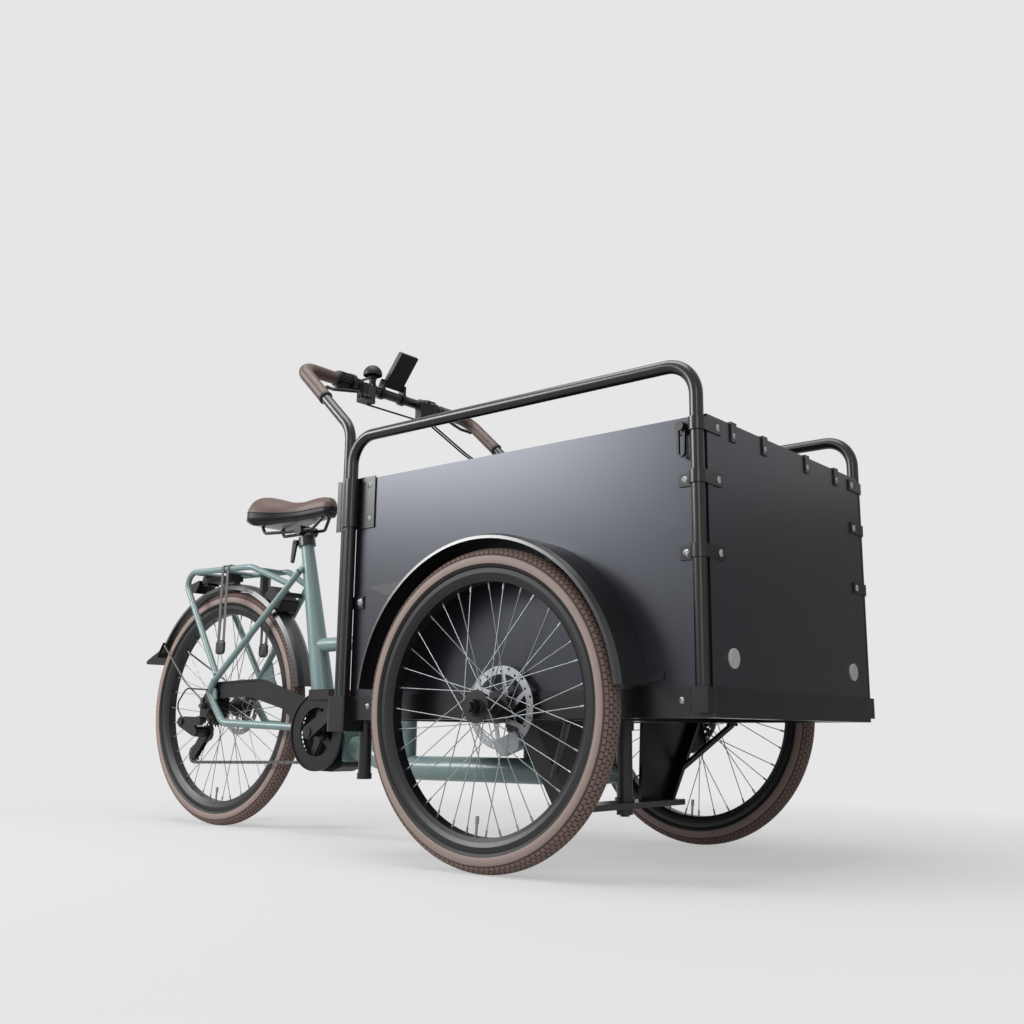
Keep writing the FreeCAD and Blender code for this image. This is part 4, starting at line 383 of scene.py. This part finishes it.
for finish, names in BY_FINISH.items():
    for name in names.split():
        mesh = nodes[name].data
        mesh.materials.clear()
        mesh.materials.append(finishes[finish])
    print(finish, "on", len(names.split()), "nodes")

# %% [markdown]
# Some nodes group pieces of different materials, such as a hub with its steel disc. They could be parted into
# meshes of their own, but a CAD mesh is left as it is, so a second finish goes to the faces that pass a simple
# test of where they lie and which way they look.

# %% Second finishes


def paint_where(name, finish, test):
    """Gives a second finish to the faces of a node whose centre and normal pass a test."""
    mesh = nodes[name].data
    mesh.materials.append(finishes[finish])
    index = len(mesh.materials) - 1
    count = 0
    for face in mesh.polygons:
        if test(face.center, face.normal):
            face.material_index = index
            count += 1
    print(name, finish, count)


WHEEL_Y, DISC_INSET = 0.390, 0.043
FRONT_DISC_Y, FRONT_DISC_HALF = WHEEL_Y - DISC_INSET, 0.0014
REAR_DISC_Y, REAR_DISC_HALF = 0.0483, 0.0012
CALIPER_TOP_Z, CALIPER_INNER_Y = 0.28, 0.3396
PEDAL_LENS = 0.0031
for side, sign in (("right", -1), ("left", 1)):
    paint_where("front_hub_" + side, "zinc_bolt_steel",
                lambda c, n: abs(c.y - sign * FRONT_DISC_Y) < FRONT_DISC_HALF)
    low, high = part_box("pedal_" + side)
    paint_where("pedal_" + side, "amber_reflector_lens",
                lambda c, n: min(c.x - low.x, high.x - c.x) < PEDAL_LENS)
paint_where("rear_hub", "zinc_bolt_steel", lambda c, n: abs(c.y - REAR_DISC_Y) < REAR_DISC_HALF)
paint_where("stub_axles", "cast_caliper_alloy", lambda c, n: c.z < CALIPER_TOP_Z and abs(c.y) > CALIPER_INNER_Y)

LAMP_FACE_X, LOOKS_BACK = -0.86, -0.8
SCREEN_BACK, SCREEN_UP = -0.5, 0.3
paint_where("rack_deck", "red_lamp_lens", lambda c, n: n.x < LOOKS_BACK and c.x < LAMP_FACE_X)
paint_where("display", "screen_glass", lambda c, n: n.x < SCREEN_BACK and n.z > SCREEN_UP)

EYE_BOLT_REACH = 0.035
SADDLE_CLAMP_Z = 0.782
REAR_AXLE_AT, DROPOUT_R = Vector((-0.7095, 0, 0.3295)), 0.045
FLAP_ROOT = Vector((-0.992, 0, 0.535))
HEAD_X, HEAD_BORE_R = 0.6705, 0.0174
LOOKS_UP = 0.9
ring_low, ring_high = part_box("tie_ring")
ring_top = Vector(((ring_low.x + ring_high.x) / 2, ring_high.y, ring_high.z))
paint_where("bolts", "black_powder_coat", lambda c, n: (c - ring_top).length < EYE_BOLT_REACH)
paint_where("seat_post", "black_powder_coat", lambda c, n: c.z > SADDLE_CLAMP_Z)
paint_where("rear_stays", "black_powder_coat",
            lambda c, n: math.hypot(c.x - REAR_AXLE_AT.x, c.z - REAR_AXLE_AT.z) < DROPOUT_R)
paint_where("rear_fender", "matt_black_plastic", lambda c, n: c.x < FLAP_ROOT.x and c.z < FLAP_ROOT.z)
paint_where("main_frame", "black_powder_coat", lambda c, n: math.hypot(c.x - HEAD_X, c.y) < HEAD_BORE_R)
for name in ("side_panels", "front_panel", "rear_panel"):
    paint_where(name, "matt_black_plastic", lambda c, n: n.z > LOOKS_UP)

# %% [markdown]
# The pieces that follow replace solids that are plain in CAD. `built` makes a mesh with its finishes and its
# normals outward, `revolved` turns an outline round a wheel's axle, and `piece` hands the mesh over with the body
# that it rides on.

# %% Makers of pieces


def built(name, points, faces, coats, marks=None):
    """A smooth mesh with its normals outward and its finishes; marks are the finish numbers of its faces."""
    mesh = bpy.data.meshes.new(name)
    mesh.from_pydata(points, [], faces)
    for finish in coats:
        mesh.materials.append(finishes[finish])
    if marks:
        mesh.polygons.foreach_set("material_index", marks)
    work = bmesh.new()
    work.from_mesh(mesh)
    bmesh.ops.recalc_face_normals(work, faces=work.faces)
    work.to_mesh(mesh)
    work.free()
    mesh.shade_smooth()
    return mesh


def revolved(name, outline, turns, coats, step_marks):
    """Turns a closed (y, r) outline round the Y axis; step_marks are the finish numbers of the outline's steps."""
    count = len(outline)
    points, faces, marks = [], [], []
    for k in range(turns):
        a = 2 * math.pi * k / turns
        points += [(r * math.sin(a), y, r * math.cos(a)) for y, r in outline]
        for i in range(count):
            here, there = k * count, (k + 1) % turns * count
            j = (i + 1) % count
            faces.append((here + i, here + j, there + j, there + i))
            marks.append(step_marks[i])
    return built(name, points, faces, coats, marks)


def piece(name, mesh, body, replaced=()):
    """An object at the origin that rides on a body and the nodes that it stands for."""
    made = bpy.data.objects.new(name, mesh)
    bpy.context.collection.objects.link(made)
    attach(made, body)
    if replaced:
        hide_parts(*replaced)
    return made


print("makers of pieces ready")

# %% [markdown]
# What repeats on the pieces, the tread blocks and the stitches, is grown by Geometry Nodes. `geometry_tree` starts
# such a tree with its named inputs. `grown` runs it on a mesh for a moment, as a modifier on a helper object, and
# keeps only the plain mesh that comes out.

# %% Makers for Geometry Nodes


def geometry_tree(name, inputs):
    """An empty Geometry Nodes tree with its named inputs, and its first and last nodes."""
    tree = bpy.data.node_groups.new(name, "GeometryNodeTree")
    tree.interface.new_socket("Geometry", in_out="INPUT", socket_type="NodeSocketGeometry")
    for label, kind in inputs.items():
        tree.interface.new_socket(label, in_out="INPUT", socket_type=kind)
    tree.interface.new_socket("Geometry", in_out="OUTPUT", socket_type="NodeSocketGeometry")
    return tree, add(tree, "NodeGroupInput"), add(tree, "NodeGroupOutput")


def grown(mesh, tree, values):
    """Runs a tree on a mesh with these inputs and returns the mesh that comes out."""
    bed = bpy.data.objects.new(mesh.name + "_bed", mesh)
    bpy.context.collection.objects.link(bed)
    modifier = bed.modifiers.new(tree.name, "NODES")
    modifier.node_group = tree
    for item in tree.interface.items_tree:
        if item.in_out == "INPUT" and item.name in values:
            modifier[item.identifier] = values[item.name]
    bpy.context.view_layer.update()
    graph = bpy.context.evaluated_depsgraph_get()
    result = bpy.data.meshes.new_from_object(bed.evaluated_get(graph))
    bpy.data.objects.remove(bed)
    return result


print("makers for Geometry Nodes ready")

# %% [markdown]
# A tyre is a round carcass with a black strip at the bead, a smooth brown wall and a crown darkened with painted
# shade that carries rows of low tread blocks. Blocks could be cut into the carcass, but setting small boxes on it
# keeps their edges crisp. The tree makes one bar of blocks for each of two phases and repeats it round the axle, so
# that neighbouring rows are staggered by half a block. The carcass goes out of the tree beside its blocks.

# %% Tread tree
GIRTH = 0.025
BLOCK = (0.0098, 0.0064, 0.0030)
ROWS = (((-54, -18, 18, 54), 0.0), ((-36, 0, 36), 0.5))

tread_tree, start, end = geometry_tree("tread_rows", {"Blocks": "NodeSocketInt", "Crown": "NodeSocketFloat",
                                                      "Tread": "NodeSocketMaterial"})
around = add(tread_tree, "GeometryNodePoints", {"Count": start.outputs["Blocks"]})
index = add(tread_tree, "GeometryNodeInputIndex")
step = add(tread_tree, "ShaderNodeMath", {0: 2 * math.pi, 1: start.outputs["Blocks"]}, operation="DIVIDE")
joined = add(tread_tree, "GeometryNodeJoinGeometry")
for degrees, phase in ROWS:
    bar = add(tread_tree, "GeometryNodeJoinGeometry")
    for tilt in (math.radians(d) for d in degrees):
        drop = GIRTH * (math.cos(tilt) - 1) - BLOCK[2] / 2 * math.cos(tilt)
        height = add(tread_tree, "ShaderNodeMath", {0: start.outputs["Crown"], 1: drop}, operation="ADD")
        place = add(tread_tree, "ShaderNodeCombineXYZ",
                    {"Y": (GIRTH - BLOCK[2] / 2) * math.sin(tilt), "Z": height.outputs[0]})
        block = add(tread_tree, "GeometryNodeMeshCube", {"Size": BLOCK})
        turned = add(tread_tree, "GeometryNodeTransform",
                     {"Geometry": block.outputs["Mesh"], "Translation": place.outputs[0],
                      "Rotation": (-tilt, 0, 0)})
        tread_tree.links.new(turned.outputs[0], bar.inputs[0])
    shifted = add(tread_tree, "ShaderNodeMath", {0: index.outputs[0], 1: phase}, operation="ADD")
    angle = add(tread_tree, "ShaderNodeMath", {0: shifted.outputs[0], 1: step.outputs[0]}, operation="MULTIPLY")
    euler = add(tread_tree, "ShaderNodeCombineXYZ", {"Y": angle.outputs[0]})
    rotation = add(tread_tree, "FunctionNodeEulerToRotation", {"Euler": euler.outputs[0]})
    copies = add(tread_tree, "GeometryNodeInstanceOnPoints",
                 {"Points": around.outputs[0], "Instance": bar.outputs[0], "Rotation": rotation.outputs[0]})
    real = add(tread_tree, "GeometryNodeRealizeInstances", {"Geometry": copies.outputs[0]})
    tread_tree.links.new(real.outputs[0], joined.inputs[0])
coated = add(tread_tree, "GeometryNodeSetMaterial",
             {"Geometry": joined.outputs[0], "Material": start.outputs["Tread"]})
whole = add(tread_tree, "GeometryNodeJoinGeometry", {0: start.outputs["Geometry"]})
tread_tree.links.new(coated.outputs[0], whole.inputs[0])
tread_tree.links.new(whole.outputs[0], end.inputs[0])
print("tread tree", len(tread_tree.nodes), "nodes")

# %% [markdown]
# The carcass is a circle that is open towards the rim, from bead to bead, with a smaller copy of itself as its
# inside. Its crown lies a tread's depth lower, so that the blocks stand out of it and reach the tyre's real
# radius.

# %% Tyres
BEAD = math.radians(127)
STRIP_EDGE = math.radians(107)
TREAD_EDGE = math.radians(68)
TREAD_DEPTH = 0.0016
TREAD_FADE = 0.12
INSIDE_SHARE = 0.84
ARC_STEPS, ROUND_STEPS = 36, 144
WHEELS = {"front_tyre_right": ("front_wheel_right", 148), "front_tyre_left": ("front_wheel_left", 148),
          "rear_tyre": ("rear_wheel", 161)}


def tyre_outline(radius):
    """The closed (y, r) outline of a carcass: the outer arc from bead to bead and the inner one back."""
    outer = []
    for k in range(ARC_STEPS + 1):
        a = BEAD * (2 * k / ARC_STEPS - 1)
        worn = TREAD_DEPTH * max(0.0, min(1.0, (TREAD_EDGE - abs(a)) / TREAD_FADE))
        outer.append(((GIRTH - worn) * math.sin(a), radius - GIRTH + (GIRTH - worn) * math.cos(a)))
    inner = [(y * INSIDE_SHARE, radius - GIRTH + (r - radius + GIRTH) * INSIDE_SHARE) for y, r in outer[::-2]]
    return outer + inner


for node, (body, blocks) in WHEELS.items():
    low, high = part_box(node)
    radius = (high.z - low.z) / 2
    outline = tyre_outline(radius)
    turns = [abs(BEAD * (2 * (k + 0.5) / ARC_STEPS - 1)) for k in range(ARC_STEPS)]
    # The crown between the tread blocks takes the third finish, a brown darkened with painted shade.
    marks = [0 if t > STRIP_EDGE else 1 if t > TREAD_EDGE else 2 for t in turns]
    marks += [0] * (len(outline) - ARC_STEPS)
    carcass = revolved(node, outline, ROUND_STEPS,
                       ("black_tyre_bead", "brown_tyre_wall", "tyre_groove_painted_shade"), marks)
    mesh = grown(carcass, tread_tree,
                 {"Blocks": blocks, "Crown": radius, "Tread": finishes["brown_tyre_tread"]})
    mesh.transform(Matrix.Translation((low + high) / 2))
    piece(node + "_treaded", mesh, body, (node,))
    print(node, "radius", round(radius, 4), "faces", len(mesh.polygons))

# %% [markdown]
# The saddle is foam under leather: broad and full at the rear, with a shallow dip before the nose. It could be
# sculpted, but a table of sections is easy to set against a photograph. The sections run from the nose backwards.
# Each row holds the share of the length, the width, how far the lower edge lies from the base line, and the height
# of the crown above that edge, all in millimetres. Smooth cubic steps fill in the sections between.

# %% Saddle sections
SADDLE_ROWS = (
    (0.000, 12, 18, 10), (0.012, 30, 10, 26), (0.050, 48, 3, 43), (0.20, 56, 0, 50), (0.40, 74, -3, 48),
    (0.58, 112, -6, 56), (0.74, 164, -9, 71), (0.88, 190, -8, 80), (0.945, 178, -3, 72), (0.985, 152, 6, 50),
    (1.000, 110, 16, 24),
)
SADDLE_BASE = 0.84565
RING_STEPS = 39
ARCH_POWER, SIDE_POWER = 0.78, 0.72
FLOOR_SPOTS, FLOOR_TUCK = (-0.44, -0.2, 0.2, 0.44), 0.002
REAR_TRIM = 0.006
saddle_low, saddle_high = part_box("saddle_cover")
saddle_low.x += REAR_TRIM


def between(rows, f):
    """Row values at a share of the length, on a cubic through the rows that keeps their order."""
    k = max(i for i in range(len(rows) - 1) if rows[i][0] <= f)
    (fa, *a), (fb, *b) = rows[k], rows[k + 1]
    before, after = rows[max(k - 1, 0)], rows[min(k + 2, len(rows) - 1)]
    t = (f - fa) / (fb - fa)
    values = []
    for i, (p, q) in enumerate(zip(a, b), 1):
        sa = (q - before[i]) / (fb - before[0]) * (fb - fa)
        sb = (after[i] - p) / (after[0] - fa) * (fb - fa)
        values.append(p * (1 + 2 * t) * (1 - t) ** 2 + sa * t * (1 - t) ** 2
                      + q * t * t * (3 - 2 * t) - sb * t * t * (1 - t))
    return values


def saddle_at(f):
    """The place along the tricycle, width, edge drop and crown height of the section at a share, in metres."""
    return [saddle_high.x - f * (saddle_high.x - saddle_low.x)] + [v / 1000 for v in between(SADDLE_ROWS, f)]


def saddle_ring(f):
    """One section: a full arch above and a shallow tucked floor below."""
    x, width, drop, crown = saddle_at(f)
    ring = []
    for k in range(RING_STEPS + 1):
        a = math.pi * k / RING_STEPS
        y = width / 2 * math.copysign(abs(math.cos(a)) ** SIDE_POWER, math.cos(a))
        ring.append(Vector((x, y, SADDLE_BASE + drop + crown * math.sin(a) ** ARCH_POWER)))
    ring += [Vector((x, y * width, SADDLE_BASE + drop - FLOOR_TUCK)) for y in FLOOR_SPOTS]
    return ring


print("saddle", [round(v, 3) for v in saddle_high - saddle_low])

# %% [markdown]
# The cover joins the rings of points from nose to rear, closer together towards both ends, where the shape turns
# fastest. Its upper part is leather. The lowest steps of each ring and the floor are the black plastic skirt, and
# the two end caps are parted in the same way.

# %% Saddle cover
SECTIONS = 70
SKIRT_STEP = 3
shares = [0.5 - 0.5 * math.cos(math.pi * k / SECTIONS) for k in range(SECTIONS + 1)]
rings = [saddle_ring(f) for f in shares]
count = len(rings[0])
points = [p for ring in rings for p in ring]
faces = [(r * count + i, r * count + (i + 1) % count, (r + 1) * count + (i + 1) % count, (r + 1) * count + i)
         for r in range(len(rings) - 1) for i in range(count)]
marks = [int(not SKIRT_STEP <= face[0] % count < RING_STEPS - SKIRT_STEP) for face in faces]
upper = list(range(SKIRT_STEP, RING_STEPS - SKIRT_STEP + 1))
lower = list(range(RING_STEPS - SKIRT_STEP, count)) + list(range(SKIRT_STEP + 1))
for base in (0, len(points) - count):
    faces += [tuple(base + i for i in upper), tuple(base + i for i in lower)]
    marks += [0, 1]
cover = piece("saddle_leather", built("saddle_leather", points, faces,
                                      ("brown_grained_leather", "matt_black_plastic"), marks),
              "saddle", ("saddle_cover",))
print("saddle cover", len(faces), "faces")

# %% [markdown]
# A piping cord covers the line where leather and skirt meet. `swept` carries a section along a path and closes
# both ends, and it serves the grips and the strap later on too. The section keeps its turn from one step to the
# next, so a band does not twist.

# %% Saddle piping
SKIRT_SHARE = math.sin(math.pi * SKIRT_STEP / RING_STEPS) ** ARCH_POWER
EDGE_START = 3
PIPING_R = 0.0021


def circle(radius, count=12):
    """A round section."""
    return [(radius * math.cos(2 * math.pi * k / count), radius * math.sin(2 * math.pi * k / count))
            for k in range(count)]


def swept(name, path, wide, section, coats):
    """Carries a section, a function from path share to (across, up) points, along a path with closed ends."""
    points, faces = [], []
    side = Vector(wide)
    last = len(path) - 1
    for k, at in enumerate(path):
        along = (path[min(k + 1, last)] - path[max(k - 1, 0)]).normalized()
        side = (side - along * side.dot(along)).normalized()
        rise = along.cross(side)
        ring = [at + side * u + rise * v for u, v in section(k / last)]
        count = len(ring)
        if k:
            base = len(points) - count
            faces += [(base + i, base + (i + 1) % count, base + count + (i + 1) % count, base + count + i)
                      for i in range(count)]
        points += ring
    faces += [tuple(range(count))[::-1], tuple(range(len(points) - count, len(points)))]
    return built(name, points, faces, coats)


def edge_line(level, out):
    """The closed run round the saddle at a share of its crown height, so far outside its skin in millimetres."""
    a = math.asin(level ** (1 / ARCH_POWER))
    line = []
    for side in (1, -1):
        for f in shares[EDGE_START:-1][::side]:
            x, width, drop, crown = saddle_at(f)
            y = width / 2 * math.cos(a) ** SIDE_POWER + out / 1000
            line.append(Vector((x, side * y, SADDLE_BASE + drop + crown * level)))
    return line


piping = edge_line(SKIRT_SHARE, 0.0)
piece("saddle_piping", swept("saddle_piping", piping + piping[:1], (0, 0, 1), lambda f: circle(PIPING_R),
                             ("dark_piping_leather",)), "saddle")
print("piping", len(piping), "steps")

# %% [markdown]
# A row of stitches runs in the leather just above the piping. Each stitch is a short bar along the line. The tree
# takes the line as a curve, marks it off at the stitch length and sets a bar on every mark.

# %% Saddle stitches
STITCH_MM = 4.6
STITCH_SHARE = 0.62
STITCH_R = 0.0005
STITCH_RISE, STITCH_OUT_MM = 0.1, 0.2

stitch_tree, start, end = geometry_tree("stitch_row", {"Pitch": "NodeSocketFloat", "Length": "NodeSocketFloat",
                                                       "Radius": "NodeSocketFloat",
                                                       "Thread": "NodeSocketMaterial"})
line = add(stitch_tree, "GeometryNodeMeshToCurve", {"Mesh": start.outputs["Geometry"]})
spots = add(stitch_tree, "GeometryNodeCurveToPoints",
            {"Curve": line.outputs[0], "Length": start.outputs["Pitch"]}, mode="LENGTH")
bar = add(stitch_tree, "GeometryNodeMeshCylinder",
          {"Vertices": 6, "Radius": start.outputs["Radius"], "Depth": start.outputs["Length"]})
turn = add(stitch_tree, "FunctionNodeAlignRotationToVector", {"Vector": spots.outputs["Tangent"]}, axis="Z")
copies = add(stitch_tree, "GeometryNodeInstanceOnPoints",
             {"Points": spots.outputs["Points"], "Instance": bar.outputs["Mesh"], "Rotation": turn.outputs[0]})
real = add(stitch_tree, "GeometryNodeRealizeInstances", {"Geometry": copies.outputs[0]})
thread = add(stitch_tree, "GeometryNodeSetMaterial",
             {"Geometry": real.outputs[0], "Material": start.outputs["Thread"]})
stitch_tree.links.new(thread.outputs[0], end.inputs[0])

seam = edge_line(SKIRT_SHARE + STITCH_RISE, STITCH_OUT_MM)
seam_mesh = bpy.data.meshes.new("saddle_stitches")
seam_mesh.from_pydata(seam, [(k, (k + 1) % len(seam)) for k in range(len(seam))], [])
stitches = grown(seam_mesh, stitch_tree, {"Pitch": STITCH_MM / 1000, "Length": STITCH_MM * STITCH_SHARE / 1000,
                                          "Radius": STITCH_R, "Thread": finishes["brown_stitch_thread"]})
piece("saddle_stitches", stitches, "saddle")
print(len(stitches.polygons) // 8, "stitches")

# %% [markdown]
# Each grip is a leather sleeve that follows the bar round its corner. It swells a little at the palm and has a
# firm dark ring at both ends. A section swept along the bar's own line keeps the sleeve true to the bend.

# %% Grips
BAR_BEND_R, BEND_STEPS = 0.048, 14
GRIP_INNER_Y, BAR_CORNER_Y = 0.192, 0.310
LEG_FOOT = Vector((0.1285, 0.318, 0.948))
GRIP_LEG = 0.150
GRIP_STEP, GRIP_SIDES = 0.004, 28
GRIP_R = 0.0163
PALM_SWELL, PALM_END = 0.0007, 1.6
RING_SWELL, RING_PARTS = 0.0009, 8
shifter_low, shifter_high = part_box("twist_shifter")
bar_x = (shifter_low.x + shifter_high.x) / 2
bar_z = (shifter_low.z + shifter_high.z) / 2


def bent_line(start, corner, end, radius, step):
    """Points along two straight runs joined by an arc."""
    come, leave = (corner - start).normalized(), (end - corner).normalized()
    half = come.angle(leave) / 2
    trim = radius * math.tan(half)
    first, second = corner - come * trim, corner + leave * trim
    centre = corner + (leave - come).normalized() * (radius / math.cos(half))
    arc = [centre + (first - centre).slerp(second - centre, k / BEND_STEPS) * radius
           for k in range(BEND_STEPS + 1)]
    runs = []
    for a, b in ((start, first), (second, end)):
        count = max(2, round((b - a).length / step))
        runs.append([a.lerp(b, k / count) for k in range(count + 1)])
    return runs[0][:-1] + arc + runs[1][1:]


def grip_section(f):
    """A round that swells towards the palm."""
    return circle(GRIP_R + PALM_SWELL * math.sin(math.pi * min(1.0, f * PALM_END)) ** 2, GRIP_SIDES)


def ring_section(f):
    """A round that bulges in the middle of the ring."""
    return circle(GRIP_R + RING_SWELL * math.sin(math.pi * f) ** 0.5, GRIP_SIDES)


for side, sign in (("right", -1), ("left", 1)):
    corner = Vector((bar_x, sign * BAR_CORNER_Y, bar_z))
    start_at = Vector((bar_x, sign * GRIP_INNER_Y, bar_z))
    foot = Vector((LEG_FOOT.x, sign * LEG_FOOT.y, LEG_FOOT.z))
    end_at = corner + (foot - corner).normalized() * GRIP_LEG
    line = bent_line(start_at, corner, end_at, BAR_BEND_R, GRIP_STEP)
    replaced = ("grips",) if sign < 0 else ()
    sleeve = piece("grip_sleeve_" + side, swept("grip_sleeve_" + side, line[1:-1], (1, 0, 0), grip_section,
                                                ("brown_grained_leather",)), "front", replaced)
    for label, a, b in (("inner", line[0], line[1]), ("outer", line[-2], line[-1])):
        ring = [a.lerp(b, k / RING_PARTS) for k in range(RING_PARTS + 1)]
        name = "grip_ring_" + label + "_" + side
        piece(name, swept(name, ring, (1, 0, 0), ring_section, ("dark_piping_leather",)), "front")
    print("grip", side, len(line), "steps")

# %% [markdown]
# The luggage strap is two rubber bands that run over the rack and down both sides into a moulded end. The bands
# are stretched tight, so each is a flat section swept along straight runs with a soft bend over the rack's bars.
# The ends are the same section, wider and thicker, that rounds off towards both tips.

# %% Luggage strap
BAND_W, BAND_T = 0.011, 0.002
BAND_BEND_R, BAND_STEP = 0.008, 0.006
BAND_OFFSETS = (-0.0115, 0.0115)
BAND_INSET, BAND_TUCK = 0.006, 0.004
END_H, END_W, END_T = 0.040, 0.038, 0.0095
END_NARROW, END_THIN, END_POWER = 0.5, 0.55, 6
END_OUT, END_STEPS = 0.0005, 24
low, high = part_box("luggage_strap")
middle_x = (low.x + high.x) / 2
band_y = high.y - BAND_INSET - BAND_T / 2
band_z = high.z - BAND_T / 2


def flat_section(width, thick, count=5):
    """A band's section with round edges, the width along the first axis."""
    r = thick / 2
    ring = []
    for sign in (1, -1):
        for k in range(count + 1):
            a = math.pi * (k / count - 0.5)
            ring.append((sign * (width / 2 - r + r * math.cos(a)), sign * r * math.sin(a)))
    return ring


def end_section(f):
    """The section of a moulded end, narrower and thinner at both tips."""
    tip = abs(2 * f - 1) ** END_POWER
    return flat_section(END_W * (1 - END_NARROW * tip), END_T * (1 - END_THIN * tip))


for number, offset in enumerate(BAND_OFFSETS):
    x = middle_x + offset
    foot_z = low.z + END_H - BAND_TUCK
    half = bent_line(Vector((x, 0, band_z)), Vector((x, band_y, band_z)), Vector((x, band_y, foot_z)),
                     BAND_BEND_R, BAND_STEP)
    other = [Vector((p.x, -p.y, p.z)) for p in half[:0:-1]]
    name = "strap_band_" + str(number + 1)
    piece(name, swept(name, other + half, (1, 0, 0), lambda f: flat_section(BAND_W, BAND_T),
                      ("grey_strap_rubber",)), "frame", ("luggage_strap",) if number == 0 else ())
for side, sign in (("right", -1), ("left", 1)):
    top = Vector((middle_x, sign * (band_y + END_OUT), low.z + END_H))
    foot = Vector((middle_x, sign * (band_y + END_OUT), low.z))
    name = "strap_end_" + side
    line = [top.lerp(foot, k / END_STEPS) for k in range(END_STEPS + 1)]
    piece(name, swept(name, line, (1, 0, 0), end_section, ("black_strap_rubber",)), "frame")
print("strap bands at", round(band_y, 4), round(band_z, 4))
